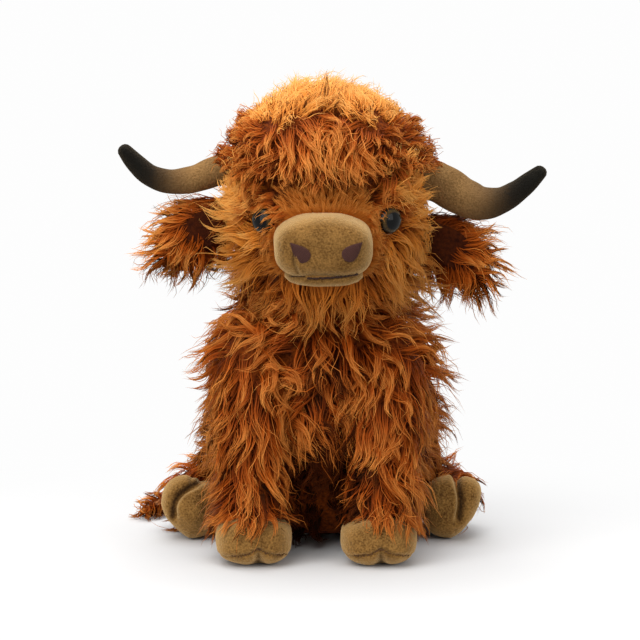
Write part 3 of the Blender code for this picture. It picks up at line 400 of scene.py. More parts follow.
@dataclass(frozen=True)
class Tube:
    """A rounded form along a centre line, with a radius at each of its points."""

    rows: Rows
    steps: int = 6

    def line(self) -> Array:
        """The smooth centre line and its radii."""
        return smooth_rows(np.array(self.rows), self.steps)

    def frames(self) -> tuple[Array, Array, Array]:
        """The line's direction and two directions across it at each point.

        Returns:
            Three arrays of unit vectors.
        """
        way = unit(np.gradient(self.line()[:, :3], axis=0))
        guide = np.array([0.0, 1.0, 0.15])
        across = unit(np.cross(way, guide))
        return way, across, np.cross(way, across)

    def outward(self, points: Array) -> Array:
        """The way out of the form at each point, from the nearest point of its line."""
        return unit(points - self.nearest(points)[..., :3])

    def nearest(self, points: Array) -> Array:
        """The row of the centre line nearest to each point."""
        line = self.line()
        gap = np.linalg.norm(points[..., None, :] - line[:, :3], axis=-1)
        return line[np.argmin(gap, axis=-1)]

    def push_out(self, points: Array, gap: float) -> Array:
        """Points moved away from the centre line until they clear the surface by a gap.

        Args:
            points: places in metres.
            gap: the clearance.

        Returns:
            The points, moved where they were too close.
        """
        row = self.nearest(points)
        away = points - row[..., :3]
        length = np.linalg.norm(away, axis=-1)
        reach = np.maximum(length, row[..., 3] + gap)
        return row[..., :3] + unit(away) * reach[..., None]

    def roots(self, spacing: float, grow: float, rng: np.random.Generator) -> tuple[Array, Array]:
        """Places spread along the line and round it by two golden-ratio sequences.

        Args:
            spacing: the distance between neighbours.
            grow: how much larger the surface is than the form.
            rng: moves each place a little.

        Returns:
            The places and the normals there.
        """
        line = self.line()
        way, across, other = self.frames()
        length = np.concatenate([[0], np.cumsum(np.linalg.norm(np.diff(line[:, :3], axis=0),
                                                              axis=-1))])
        radius = line[:, 3].mean() + grow
        count = int(length[-1] * 2 * math.pi * radius / spacing**2)
        place = (np.arange(count) + rng.uniform(-0.5, 0.5, count) * 0.5) / count * length[-1]
        turn = np.arange(count) * math.pi * GOLDEN + rng.normal(size=count) * 0.1
        index = np.interp(place, length, np.arange(len(line)))
        low = np.clip(index.astype(int), 0, len(line) - 2)
        part = (index - low)[:, None]
        row = line[low] * (1 - part) + line[low + 1] * part
        normal = (unit(across[low] * (1 - part) + across[low + 1] * part)
                  * np.cos(turn)[:, None]
                  + unit(other[low] * (1 - part) + other[low + 1] * part)
                  * np.sin(turn)[:, None])
        return row[:, :3] + normal * (row[:, 3:4] + grow), unit(normal)

    def skin(self, name: str, inset: float, sides: int = 28, relief: Array | None = None) -> Piece:
        """The closed surface: circles carried along the line, with round ends.

        Args:
            name: the piece's name.
            inset: how much smaller it is than the form.
            sides: vertices round it.
            relief: extra radius for each row and side, where it has some.

        Returns:
            The object.
        """
        line = self.line()
        way, across, other = self.frames()
        ends = np.radians([72.0, 50.0, 26.0])
        rows, ways, sides_a, sides_b = [line], [way], [across], [other]
        for index, sign, order in ((0, -1, 1), (-1, 1, -1)):
            radius = line[index, 3] - inset
            turn = ends[::order]
            cap = np.repeat(line[index:index + 1] if index == 0 else line[-1:], 3, axis=0)
            cap[:, :3] += sign * way[index] * radius * np.sin(turn)[:, None]
            cap[:, 3] = inset + radius * np.cos(turn)
            put = 0 if index == 0 else len(rows)
            rows.insert(put, cap)
            for table, value in ((ways, way), (sides_a, across), (sides_b, other)):
                table.insert(0 if index == 0 else len(table), np.repeat(value[index][None], 3, 0))
        line, way, across, other = (np.vstack(t) for t in (rows, ways, sides_a, sides_b))
        turn = 2 * math.pi * np.arange(sides) / sides
        radius = (line[:, 3] - inset)[:, None]
        if relief is not None:
            radius = radius + np.vstack([relief[:1]] * 3 + [relief] + [relief[-1:]] * 3)
        ring = (across[:, None] * np.cos(turn)[None, :, None]
                + other[:, None] * np.sin(turn)[None, :, None])
        grid = line[:, None, :3] + ring * radius[..., None]
        start = line[0, :3] - way[0] * (line[0, 3] - inset) * 0.33
        end = line[-1, :3] + way[-1] * (line[-1, 3] - inset) * 0.25
        points = np.vstack([start, grid.reshape(-1, 3), end])
        points[:, 2] = np.maximum(points[:, 2], FLOOR_GAP)
        return make_piece(name, points, closed_faces(len(line), sides))


@dataclass(frozen=True)
class Pod(Rounded):
    """A soft box or ball: each ray from its middle leaves it once.

    The reach along a way is the inverse of the power mean of the way's parts over the half
    sizes, so a power of two gives a ball and a higher one a box with round corners.
    """

    middle: tuple[float, float, float]
    half: tuple[float, float, float]
    power: float = 2.0
    floor: bool = False

    def centre(self) -> Array:
        """The point in the middle of the form."""
        return np.array(self.middle)

    def reach(self, ways: Array, grow: float = 0.0) -> Array:
        """How far the surface is from the middle along each way.

        Args:
            ways: unit vectors.
            grow: how much larger the form is on each side.

        Returns:
            The distances, one for each way.
        """
        parts = np.abs(ways) / (np.array(self.half) + np.asarray(grow)[..., None])
        return (parts**self.power).sum(-1) ** (-1 / self.power)

    def front_at(self, x: Array, z: Array) -> Array:
        """The Y of the front at X and Z, solved from the power sum.

        Args:
            x: places across.
            z: heights.

        Returns:
            The Y of each.
        """
        a = np.abs(x - self.middle[0]) / self.half[0]
        c = np.abs(z - self.middle[2]) / self.half[2]
        rest = np.clip(1 - a**self.power - c**self.power, 0.0, 1.0)
        return self.middle[1] - self.half[1] * rest ** (1 / self.power)

    def roots(self, spacing: float, grow: float, rng: np.random.Generator) -> tuple[Array, Array]:
        """Evenly spread places: a spiral of equal areas on a ball, carried to the surface.

        Args:
            spacing: the distance between neighbours.
            grow: how much larger the surface is than the form.
            rng: moves each place a little.

        Returns:
            The places and the normals there.
        """
        count = int(4 * math.pi * (np.mean(self.half) + grow)**2 / spacing**2)
        ways = spiral_ways(count, rng.normal(size=count) * 0.1)
        return self.centre() + ways * self.reach(ways, grow)[..., None], ways

    def skin(self, name: str, relief: Field | None = None, sides: int = 96, rings: int = 64,
             crease: Field | None = None) -> Piece:
        """The closed surface, with a relief that moves each point.

        Args:
            name: the piece's name.
            relief: takes the points and returns how far each moves towards the middle.
            sides: vertices round it.
            rings: rings from pole to pole.
            crease: takes the points and returns how much painted shade each gets, from 0 to 1.

        Returns:
            The object.
        """
        ways = grid_ways(sides, rings)
        points = self.centre() + ways * self.reach(ways)[:, None]
        if relief is not None:
            points = points - ways * relief(points)[:, None]
        if self.floor:
            points[:, 2] = np.maximum(points[:, 2], FLOOR_GAP)
        piece = make_piece(name, points, closed_faces(rings, sides))
        if crease is not None:
            dark = piece.data.attributes.new(PAINTED_SHADE_ATTRIBUTE, "FLOAT", "POINT")
            dark.data.foreach_set("value", np.clip(crease(points), 0, 1).astype(np.float32))
        return piece


def bell(distance: Array, width: float) -> Array:
    """A smooth bump: one at no distance, and e to the minus one at the width."""
    return np.exp(-((distance / width) ** 2))


def segment_distance(points: Array, line: Array) -> Array:
    """The distance in X and Z from each point to a line of straight pieces.

    Args:
        points: places in metres.
        line: the line's corners, as X and Z.

    Returns:
        The distances.
    """
    flat = points[:, None, [0, 2]]
    start, way = line[:-1], np.diff(line, axis=0)
    share = ((flat - start) * way).sum(-1) / (way**2).sum(-1)
    near = start + way * np.clip(share, 0, 1)[..., None]
    return np.linalg.norm(flat - near, axis=-1).min(axis=-1)


@dataclass(frozen=True)
class Leaf:
    """A flat drooping form: an oval at each place along it, wide across and thin in Y."""

    root: tuple[float, float, float]
    droop: float
    side: float
    length: float = 0.050
    half_width: float = 0.0155
    half_depth: float = 0.006
    shares: Rows = (
        (0.0, 0.30, 0.6), (0.02, 0.46, 1.0), (0.14, 0.62, 1.0), (0.34, 0.90, 1.0),
        (0.54, 1.0, 0.95), (0.74, 0.86, 0.85), (0.90, 0.54, 0.66), (0.98, 0.25, 0.42),
        (1.0, 0.05, 0.2))

    def axes(self) -> Array:
        """The ways along the leaf, across it and through it, as rows."""
        turn = self.droop
        return np.array([[math.cos(turn) * self.side, 0.0, -math.sin(turn)],
                         [math.sin(turn) * self.side, 0.0, math.cos(turn)], [0.0, 1.0, 0.0]])

    def sizes(self, share: Array, grow: float) -> tuple[Array, Array]:
        """The half width and half depth at shares of the length, grown on all sides."""
        rows = smooth_rows(np.array(self.shares), 5)
        wide = np.interp(share, rows[:, 0], rows[:, 1]) * self.half_width + grow
        deep = np.interp(share, rows[:, 0], rows[:, 2]) * self.half_depth + grow
        return np.maximum(wide, 1e-4), np.maximum(deep, 1e-4)

    def place(self, share: Array, turn: Array, grow: float) -> Array:
        """The surface's points: the root, plus a share of the length, plus the oval's point."""
        along, across, through = self.axes()
        wide, deep = self.sizes(share, grow)
        return (np.array(self.root) + along * (share * self.length)[..., None]
                + across * (wide * np.cos(turn))[..., None]
                + through * (deep * np.sin(turn))[..., None])

    def local(self, points: Array, grow: float) -> tuple[Array, ...]:
        """Points in the leaf's own measure.

        Args:
            points: places in metres.
            grow: how much larger the leaf is on each side.

        Returns:
            The share of the length, and the places across and through over the half sizes.
        """
        along, across, through = self.axes()
        away = points - np.array(self.root)
        share = np.clip(away @ along / self.length, 0.0, 1.0)
        wide, deep = self.sizes(share, grow)
        return share, away @ across / wide, away @ through / deep

    def outward(self, points: Array) -> Array:
        """The way out of the oval at each point, by the gradient of its equation."""
        _, across, through = self.axes()
        share, u, v = self.local(points, 0.0)
        wide, deep = self.sizes(share, 0.0)
        return unit(across * (u / wide)[..., None] + through * (v / deep)[..., None] + 1e-6)

    def push_out(self, points: Array, gap: float) -> Array:
        """Points moved out of the leaf across and through it.

        Args:
            points: places in metres.
            gap: the clearance.

        Returns:
            The points, moved where they were inside.
        """
        _, across, through = self.axes()
        share, u, v = self.local(points, gap)
        wide, deep = self.sizes(share, gap)
        far = np.hypot(u, v)
        away = (points - np.array(self.root)) @ self.axes()[0]
        inside = (far < 1) & (away > 0) & (away < self.length)
        push = np.where(inside, 1 / np.maximum(far, 0.05) - 1, 0.0)
        return (points + across * (u * push * wide)[..., None]
                + through * (v * push * deep)[..., None])

    def roots(self, spacing: float, grow: float, rng: np.random.Generator) -> tuple[Array, Array]:
        """Places spread along and round the leaf by two golden-ratio sequences.

        Args:
            spacing: the distance between neighbours.
            grow: how much larger the surface is than the leaf.
            rng: moves each place a little.

        Returns:
            The places and the normals there.
        """
        count = int(self.length * 4 * self.half_width / spacing**2)
        share = (np.arange(count) + rng.uniform(0.2, 0.8, count)) / count
        turn = np.arange(count) * math.pi * GOLDEN + rng.normal(size=count) * 0.1
        points = self.place(share, turn, grow)
        return points, self.outward(points)

    def skin(self, name: str, grow: float, sides: int = 40, rings: int = 30) -> Piece:
        """The closed surface of ovals along the leaf.

        Args:
            name: the piece's name.
            grow: how much larger it is than the leaf.
            sides: vertices round it.
            rings: rings from root to tip.

        Returns:
            The object.
        """
        share = (1 - np.cos(math.pi * (np.arange(rings) + 1) / (rings + 1))) / 2
        turn = 2 * math.pi * np.arange(sides) / sides * self.side
        share, turn = np.meshgrid(share, turn, indexing="ij")
        points = self.place(share.ravel(), turn.ravel(), grow)
        ends = self.place(np.array([0.0, 1.0]), np.zeros(2), -self.half_width)
        return make_piece(name, np.vstack([ends[:1], points, ends[1:]]),
                          closed_faces(rings, sides))


Form = Loft | Tube | Pod | Leaf


@dataclass(frozen=True)
class Coat:
    """How the fur of a patch grows.

    Lengths are in metres: the gap between locks, their length, the half width and half
    thickness of a lock at its root, the waves' length, the strands' radius and half the
    length of the parting that the hair leads away from.
    """

    spacing: float = 0.0075
    strands: int = 26
    length: float = 0.045
    spread: float = 0.0062
    thick: float = 0.0034
    lift: float = 0.50
    fall: float = 0.05
    wave: float = 0.42
    wave_length: float = 0.040
    swirl: float = 1.7
    swirl_size: float = 0.050
    gather: float = 0.86
    frizz: float = 0.0004
    radius: float = 0.00032
    points: int = 7
    tint: float = 0.45
    comb: Comb = Comb.DOWN
    stray: float = 0.10
    loft: float = 0.009
    twist: float = 0.24
    flick: float = 0.10
    parting: float = 0.0


def combed(points: Array, normals: Array, coat: Coat, whorl: Array, seed: int) -> Array:
    """The way that each lock is combed, along the surface.

    The first way is down, away from the whorl, or sideways out. It is laid into the surface
    and turned about the normal by smooth noise, so that neighbours swirl together.

    Args:
        points: the roots.
        normals: the normals there.
        coat: the patch's coat.
        whorl: the point that hair of the crown leads away from.
        seed: picks the noise.

    Returns:
        Vectors along the surface, of length one but for a shorter one round a whorl, where
        the hair stands up.
    """
    down = np.broadcast_to(np.array([0.0, 0.0, -1.0]), points.shape)
    along = np.clip(points[:, :1] - whorl[0], -coat.parting, coat.parting)
    whorl = whorl + along * np.array([1.0, 0.0, 0.0])
    apart = down + points * np.array([18.0, 0.0, 0.0])
    way = {Comb.DOWN: down, Comb.SPREAD: apart, Comb.WHORL: unit(points - whorl) + down * 0.25,
           Comb.OUT: unit(points - whorl) + down * 0.15}[coat.comb]
    way = way - (way * normals).sum(-1, keepdims=True) * normals
    size = np.clip(np.linalg.norm(way, axis=-1, keepdims=True) * 2.2, 0.0, 1.0)
    way = unit(way + 0.02 * unit(np.cross(normals, down)))
    side = np.cross(normals, way)
    turn = coat.swirl * ripple(points, coat.swirl_size, seed)[:, None]
    return unit(way * np.cos(turn) + side * np.sin(turn)) * size


def grow_locks(points: Array, normals: Array, lengths: Array, coat: Coat, whorl: Array,
               keep_out: list, rng: np.random.Generator) -> Array:
    """The middle lines of the locks, grown step by step.

    Each step turns the line towards its comb and down, adds a sine wave across it, and moves
    it out of the forms underneath.

    Args:
        points: the roots.
        normals: the normals there.
        lengths: the length of each lock.
        coat: the patch's coat.
        whorl: the point that hair of the crown leads away from.
        keep_out: the forms that the fur lies on, each with its gap.
        rng: gives each lock its own wave.

    Returns:
        The lines, with GUIDE_POINTS points each.
    """
    count = len(points)
    comb = combed(points, normals, coat, whorl, int(rng.integers(1 << 30)))
    comb = comb + rng.normal(size=comb.shape) * coat.twist * 0.6
    side = unit(np.cross(normals, comb))
    way = unit(normals * coat.lift + comb * (1 - coat.lift))
    phase = rng.uniform(0, 2 * math.pi, (count, 1))
    waves = lengths[:, None] / coat.wave_length * rng.uniform(0.7, 1.3, (count, 1))
    strength = coat.wave * rng.uniform(0.5, 1.4, (count, 1))
    step = lengths[:, None] / (GUIDE_POINTS - 1)
    loft = coat.loft * rng.uniform(0, 1, count)
    line = [points]
    for k in range(1, GUIDE_POINTS):
        t = k / (GUIDE_POINTS - 1)
        turn = 2 * math.pi * waves * t + phase
        bend = side * np.cos(turn) + normals * np.sin(turn) * 0.6
        way = unit(way + comb * 0.16 + bend * strength * (0.35 + t) * 0.8
                   + normals * coat.flick * (t > 0.5) + np.array([0.0, 0.0, -coat.fall]))
        here = line[-1] + way * step
        for form, gap in keep_out:
            rise = gap if gap < 0 else gap * min(1.0, 3 * t)
            here = form.push_out(here, rise + loft * math.sin(math.pi * min(t * 1.1, 0.85)))
        here[:, 2] = np.maximum(here[:, 2], LOCK_GAP)
        way = unit(here - line[-1])
        line.append(here)
    return np.stack(line, axis=1)


def split_locks(lines: Array, form: Form, coat: Coat, rng: np.random.Generator) -> tuple[Array,
                ...]:
    """The strands of the locks: each keeps its place in a flat oval that narrows to a point.

    Args:
        lines: the locks' middle lines.
        form: the form underneath, which says which way is out.
        coat: the patch's coat.
        rng: gives each strand its own place, length and frizz.

    Returns:
        The strands' points, their radii, the number of each strand's lock, whether the strand
        strays from it, and how high it lies in it.
    """
    locks, count = len(lines), coat.strands
    way = unit(np.gradient(lines, axis=1))
    out = form.outward(lines)
    out = unit(out - (out * way).sum(-1, keepdims=True) * way)
    side = np.cross(way, out)
    spread = np.sqrt(rng.uniform(0, 1, (locks, count)))
    turn = rng.uniform(0, 2 * math.pi, (locks, count))
    across = spread * np.cos(turn) * coat.spread * rng.uniform(0.8, 1.25, (locks, 1))
    deep = spread * np.sin(turn) * coat.thick
    reach = rng.uniform(0.62, 1.0, (locks, count)) * (1 - 0.18 * spread)
    stray = rng.uniform(size=(locks, count)) < coat.stray
    reach = np.where(stray, reach * 1.14, reach)
    t = np.linspace(0, 1, coat.points)
    place = np.clip(reach[..., None] * t, 0, 1) * (GUIDE_POINTS - 1)
    low = np.clip(place.astype(int), 0, GUIDE_POINTS - 2)
    part = (place - low)[..., None]
    lock = np.arange(locks)[:, None, None]

    def at(table: Array) -> Array:
        """The table's values at each strand's places along its lock."""
        return table[lock, low] * (1 - part) + table[lock, low + 1] * part

    gather = coat.gather * rng.uniform(0.7, 1.15, (locks, 1, 1))
    narrow = 1 - gather * t**0.9
    narrow = np.where(stray[..., None], 1.0 + 1.1 * t, narrow)
    frizz = rng.uniform(0, 2 * math.pi, (locks, count, 1, 2))
    curl = np.sin(frizz + t[None, None, :, None] * rng.uniform(4, 11, (locks, count, 1, 2)))
    curl = curl * coat.frizz * (0.2 + t[:, None]) * np.where(stray, 3.0, 1.0)[..., None, None]
    offset_a = (across[..., None] * narrow + curl[..., 0])[..., None]
    offset_b = (deep[..., None] * narrow + curl[..., 1])[..., None]
    points = at(lines) + at(side) * offset_a + at(out) * offset_b
    points[..., 2] = np.maximum(points[..., 2], STRAND_GAP)
    radius = coat.radius * rng.uniform(0.7, 1.3, (locks, count, 1)) * (1 - 0.62 * t)
    number = np.repeat(np.arange(locks), count)
    shape = (locks * count, coat.points)
    high = spread * np.sin(turn)
    return points.reshape(*shape, 3), radius.reshape(shape), number, stray.ravel(), high.ravel()


def strand_mesh(name: str, points: Array, radius: Array, tint: Array, sides: int = 3,
                outward: Array | None = None) -> Piece:
    """All strands of a patch: tubes of a few sides that end in a point.

    A corner is the strand's point plus its radius along one of the ways, evenly turned, that
    lie across the strand.

    Args:
        name: the piece's name.
        points: the strands' points.
        radius: the radius at each point.
        tint: a number from 0, dark, to 1, light, for each strand.
        sides: how many sides a tube has.
        outward: the way out of the form at each point, which softens the shading.

    Returns:
        The object, with tint and place from root to tip as its UV map.
    """
    count, length = points.shape[:2]
    way = unit(np.gradient(points, axis=1))
    guide = np.array([0.4, 0.2, 0.89])
    across = unit(np.cross(way, guide))
    other = np.cross(way, across)
    turn = 2 * math.pi * np.arange(sides) / sides
    ring = (across[:, :-1, None] * np.cos(turn)[:, None]
            + other[:, :-1, None] * np.sin(turn)[:, None])
    ring = points[:, :-1, None] + ring * radius[:, :-1, None, None]
    block = np.concatenate([ring.reshape(count, -1, 3), points[:, -1:]], axis=1)
    size = sides * (length - 1) + 1
    here = np.arange(sides)
    there = (here + 1) % sides
    base = (np.arange(length - 2) * sides)[:, None]
    quads = np.stack([base + here, base + there, base + sides + there, base + sides + here], -1)
    last = sides * (length - 2)
    tips = np.stack([last + here, last + there, np.full(sides, size - 1)], -1)
    root = here[::-1][None]
    first = (np.arange(count) * size)[:, None, None]
    faces = [(first + quads.reshape(1, -1, 4)).reshape(-1, 4),
             (first + tips[None]).reshape(-1, 3), (first + root[None]).reshape(-1, sides)]
    run = np.append(np.repeat(np.linspace(0, 1, length)[:-1], sides), 1.0)
    wide = np.append(np.tile((here / (sides - 1) - 0.5) * 0.024, length - 1), 0.0)
    u = np.clip(tint, 0.02, 0.98)[:, None] + wide[None]
    uv = np.stack([u, np.broadcast_to(run * 0.96 + 0.02, u.shape)], -1)
    piece = make_piece(name, block.reshape(-1, 3), faces, uv.reshape(-1, 2))
    if outward is not None:
        own = unit(block - np.concatenate([np.repeat(points[:, :-1], sides, axis=1),
                                           points[:, -1:] - way[:, -1:]], axis=1))
        soft = np.concatenate([np.repeat(outward[:, :-1], sides, axis=1), outward[:, -1:]], 1)
        normals = unit(own * OWN_NORMAL + soft * (1 - OWN_NORMAL))
        piece.data.normals_split_custom_set_from_vertices(normals.reshape(-1, 3))
    return piece


@dataclass
class Pelt:
    """Fur that grows on one form and lies on it and on its neighbours."""

    form: Form
    whorl: tuple[float, float, float] = (0.0, 0.0, 0.3)
    keep_out: list = field(default_factory=list)
    inset: float = SKIN_INSET

    def grow(self, name: str, body: str, coat: Coat, finish: "Finish", where: Mask,
             length: Field | None = None, seed: int = 0, shade: Field | None = None) -> Piece:
        """Grow a patch of fur.

        Args:
            name: the piece's name.
            body: the body that it rides on.
            coat: how the fur grows.
            finish: the fur's finish.
            where: says for each root and normal whether it belongs to the patch.
            length: the share of the coat's length for each root, where it changes.
            seed: picks the random draws.
            shade: a change of the tint for each root.

        Returns:
            The piece.
        """
        rng = np.random.default_rng(SEED + seed)
        roots, normals = self.form.roots(coat.spacing, -self.inset, rng)
        held = where(roots, normals)
        roots, normals = roots[held], normals[held]
        lengths = coat.length * rng.uniform(0.78, 1.15, len(roots))
        if length is not None:
            lengths = lengths * length(roots)
        keep_out = [(self.form, 0.0012 - self.inset)] + self.keep_out
        whorl = np.array(self.whorl)
        lines = grow_locks(roots, normals, lengths, coat, whorl, keep_out, rng)
        points, radius, lock, stray, high = split_locks(lines, self.form, coat, rng)
        tint = coat.tint + 0.24 * ripple(roots, 0.045, seed + 7)
        tint = tint + rng.normal(size=len(roots)) * 0.13
        if shade is not None:
            tint = tint + shade(roots)
        # Painted light and shade: a strand high in its lock gets a lighter tint, one under it a
        # darker one.
        tint = tint[lock] + rng.normal(size=len(lock)) * 0.05 + 0.22 * stray + 0.26 * high
        outward = self.form.outward(points)
        piece = strand_mesh(name, points, radius, np.clip(tint, 0, 1), outward=outward)
        finish.dress(piece)
        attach(piece, body)
        LOG.info("%s: %d locks, %d strands, %d faces", name, len(roots), len(lock),
                 len(piece.data.polygons))
        return piece


Colour = tuple[float, float, float]
Stops = tuple[tuple[float, Colour], ...]
BLACK: Colour = (0.0, 0.0, 0.0)
WHITE: Colour = (1.0, 1.0, 1.0)
NAP_HEIGHT = 0.0009


def fill(tree: Tree, node: Node, inputs: dict) -> Node:
    """Give a node its inputs: a socket is linked, and any other value is set.

    Args:
        tree: the tree that holds the node.
        node: the node.
        inputs: sockets and values, by the input's name or number.

    Returns:
        The node.
    """
    for key, value in inputs.items():
        if isinstance(value, Socket):
            tree.links.new(value, node.inputs[key])
        else:
            node.inputs[key].default_value = value
    return node


def add(tree: Tree, kind: str, inputs: dict | None = None, **settings: object) -> Node:
    """Add a shader node.

    Args:
        tree: the tree that it goes into.
        kind: its type, without "ShaderNode".
        inputs: its sockets and values, as fill() takes them.
        **settings: its own settings, which come before its inputs.

    Returns:
        The node.
    """
    node = tree.nodes.new("ShaderNode" + kind)
    for name, value in settings.items():
        setattr(node, name, value)
    return fill(tree, node, inputs or {})


def new_material(name: str) -> tuple[bpy.types.Material, Tree, Node]:
    """A material with its node tree and its Principled shader.

    Args:
        name: the material's name.

    Returns:
        The material, the tree and the shader node.
    """
    material = bpy.data.materials.new(name)
    material.use_nodes = True
    tree = material.node_tree
    return material, tree, tree.nodes["Principled BSDF"]


def ramp(tree: Tree, share: Socket, stops: Stops) -> Socket:
    """A colour that runs through stops.

    Args:
        tree: the material's tree.
        share: the place along the stops.
        stops: places and linear colours, at least two.

    Returns:
        The colour.
    """
    node = add(tree, "ValToRGB", {"Fac": share})
    bar = node.color_ramp.elements
    bar[0].position, bar[0].color = stops[0][0], (*stops[0][1], 1.0)
    bar[1].position, bar[1].color = stops[-1][0], (*stops[-1][1], 1.0)
    for place, colour in stops[1:-1]:
        bar.new(place).color = (*colour, 1.0)
    return node.outputs["Color"]


def mixed(tree: Tree, one: object, other: object, share: object, blend: str = "MIX") -> Socket:
    """Two colours, mixed or multiplied.

    Args:
        tree: the material's tree.
        one: the first colour, a socket or a value, as are the next two.
        other: the second colour.
        share: how much of the second shows.
        blend: how they are blended.

    Returns:
        The colour.
    """
    return add(tree, "Mix", {"Factor": share, "A": one, "B": other}, data_type="RGBA",
               blend_type=blend).outputs["Result"]


def mottle_group() -> Tree:
    """The shared group for uneven cloth: coarse noise for colour and fine noise for nap.

    Returns:
        The group, made on first use, with a mask and a height.
    """
    name = "cloth_mottle"
    if name in bpy.data.node_groups:
        return bpy.data.node_groups[name]
    group = bpy.data.node_groups.new(name, "ShaderNodeTree")
    for label, value in (("Patch Scale", 60.0), ("Nap Scale", 900.0)):
        socket = group.interface.new_socket(label, in_out="INPUT", socket_type="NodeSocketFloat")
        socket.default_value = value
    for label in ("Mask", "Height"):
        group.interface.new_socket(label, in_out="OUTPUT", socket_type="NodeSocketFloat")
    entry, leave = group.nodes.new("NodeGroupInput"), group.nodes.new("NodeGroupOutput")
    place = add(group, "TexCoord").outputs["Object"]
    patch, nap = (add(group, "TexNoise", {"Detail": detail, "Scale": entry.outputs[label],
                                          "Vector": place}).outputs["Fac"]
                  for label, detail in (("Patch Scale", 4.0), ("Nap Scale", 2.0)))
    coarse = add(group, "Math", {0: patch, 1: 0.36}, operation="MULTIPLY").outputs[0]
    mask = add(group, "Math", {0: nap, 1: 0.64, 2: coarse}, operation="MULTIPLY_ADD").outputs[0]
    fill(group, leave, {"Mask": mask, "Height": nap})
    return group


@dataclass(frozen=True)
class Finish:
    """A finish with a name; each kind fills in its own material."""

    name: str

    def material(self) -> bpy.types.Material:
        """The finish's material, made on first use.

        Returns:
            The material.
        """
        made = bpy.data.materials.get(self.name + "_look")
        if made is None:
            made, tree, shader = new_material(self.name + "_look")
            self.make(tree, shader)
        return made

    def make(self, tree: Tree, shader: Node) -> None:
        """Fill in the material's tree and its Principled shader."""
        raise NotImplementedError

    def dress(self, piece: Piece) -> None:
        """Give a piece this finish alone."""
        piece.data.materials.clear()
        piece.data.materials.append(self.material())


def settle(piece: Piece, finish: Finish, body: str, slot: str, *nodes: str,
           padded: bool = True) -> None:
    """Dress a piece, hand it to its body and report it.

    Args:
        piece: the piece.
        finish: its finish.
        body: the body that it rides on.
        slot: the name of a slot for recolouring it; not used.
        *nodes: the part's nodes that it stands for.
        padded: whether it is stuffed cloth; not used.
    """
    finish.dress(piece)
    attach(piece, body)
    if nodes:
        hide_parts(*nodes)
    LOG.info("%s: %d faces", piece.name, len(piece.data.polygons))


@dataclass(frozen=True)
class Fur(Finish):
    """Long hair: its colour runs from root to tip and from a dark strand to a light one."""

    dark: Stops = ()
    light: Stops = ()

    def make(self, tree: Tree, shader: Node) -> None:
        """Fill in the material, which reads the strands' own UV map.

        Args:
            tree: the material's tree.
            shader: its Principled shader.
        """
        place = add(tree, "UVMap", uv_map=UV_NAME).outputs["UV"]
        parts = add(tree, "SeparateXYZ", {0: place}).outputs
        hair = mixed(tree, ramp(tree, parts["Y"], self.dark), ramp(tree, parts["Y"], self.light),
                     parts["X"])
        # Painted shade: strands of the lowest tints are multiplied down to near black, as deep
        # shade between the locks.
        depth = ramp(tree, parts["X"], ((0.02, (0.16, 0.12, 0.10)), (0.20, WHITE)))
        fill(tree, shader, {"Base Color": mixed(tree, hair, depth, 1.0, "MULTIPLY"),
                            "Roughness": 0.55, "Specular IOR Level": 0.18,
                            "Specular Tint": (1.0, 0.62, 0.30, 1.0)})


def painted_edge_sheen(tree: Tree, colour: Socket, edge: Colour, share: float) -> Socket:
    """Painted sheen: cloth made paler where it turns away, as a nap catches light at its edges.

    Args:
        tree: the material's tree.
        colour: the cloth's colour.
        edge: the linear colour of the painted sheen at the edge.
        share: how much of it shows there.

    Returns:
        The mixed colour.
    """
    facing = add(tree, "LayerWeight", {"Blend": 0.32}).outputs["Facing"]
    amount = ramp(tree, facing, ((0.10, BLACK), (0.85, (share, share, share))))
    return mixed(tree, colour, (*edge, 1.0), amount)


def painted_crease_shade(tree: Tree, colour: Socket) -> Socket:
    """Painted shade: darken cloth where the piece's own crease attribute says that it is folded
    in.

    Args:
        tree: the material's tree.
        colour: the cloth's colour.

    Returns:
        The darkened colour.
    """
    depth = add(tree, "Attribute", attribute_name=PAINTED_SHADE_ATTRIBUTE).outputs["Fac"]
    dark = ramp(tree, depth, ((0.0, WHITE), (1.0, (0.10, 0.07, 0.05))))
    return mixed(tree, colour, dark, 1.0, "MULTIPLY")


def napped(tree: Tree, shader: Node, scales: tuple[float, float], strength: float) -> Socket:
    """Give cloth the relief of its nap.

    Args:
        tree: the material's tree.
        shader: its Principled shader.
        scales: how fine the patches and the nap are.
        strength: how strong the relief is.

    Returns:
        The mask of its patches.
    """
    mottle = add(tree, "Group", {"Patch Scale": scales[0], "Nap Scale": scales[1]},
                 node_tree=mottle_group()).outputs
    bump = add(tree, "Bump", {"Strength": strength, "Distance": NAP_HEIGHT,
                              "Height": mottle["Height"]})
    fill(tree, shader, {"Normal": bump.outputs["Normal"], "Roughness": 0.95})
    return mottle["Mask"]


@dataclass(frozen=True)
class Velour(Finish):
    """Short napped cloth: two colours in uneven patches and a fine nap."""

    low: Colour = (0.3, 0.2, 0.1)
    high: Colour = (0.4, 0.3, 0.2)
    patch_scale: float = 60.0
    nap_scale: float = 900.0
    bump: float = 0.5
    sheen: float = 0.5
    # The colour of a painted sheen at the edges, where there is one.
    edge: Colour | None = None

    def make(self, tree: Tree, shader: Node) -> None:
        """Fill in the material, on Object coordinates.

        Args:
            tree: the material's tree.
            shader: its Principled shader.
        """
        mask = napped(tree, shader, (self.patch_scale, self.nap_scale), self.bump)
        colour = ramp(tree, mask, ((0.34, self.low), (0.62, self.high)))
        # With an edge colour: a painted sheen at the edges, and painted shade where the crease
        # attribute says.
        if self.edge is not None:
            colour = painted_crease_shade(tree, painted_edge_sheen(tree, colour, self.edge, 0.75))
        fill(tree, shader, {"Base Color": colour, "Specular IOR Level": 0.12,
                            "Sheen Weight": self.sheen, "Sheen Roughness": 0.34,
                            "Sheen Tint": (0.95, 0.68, 0.36, 1.0)})


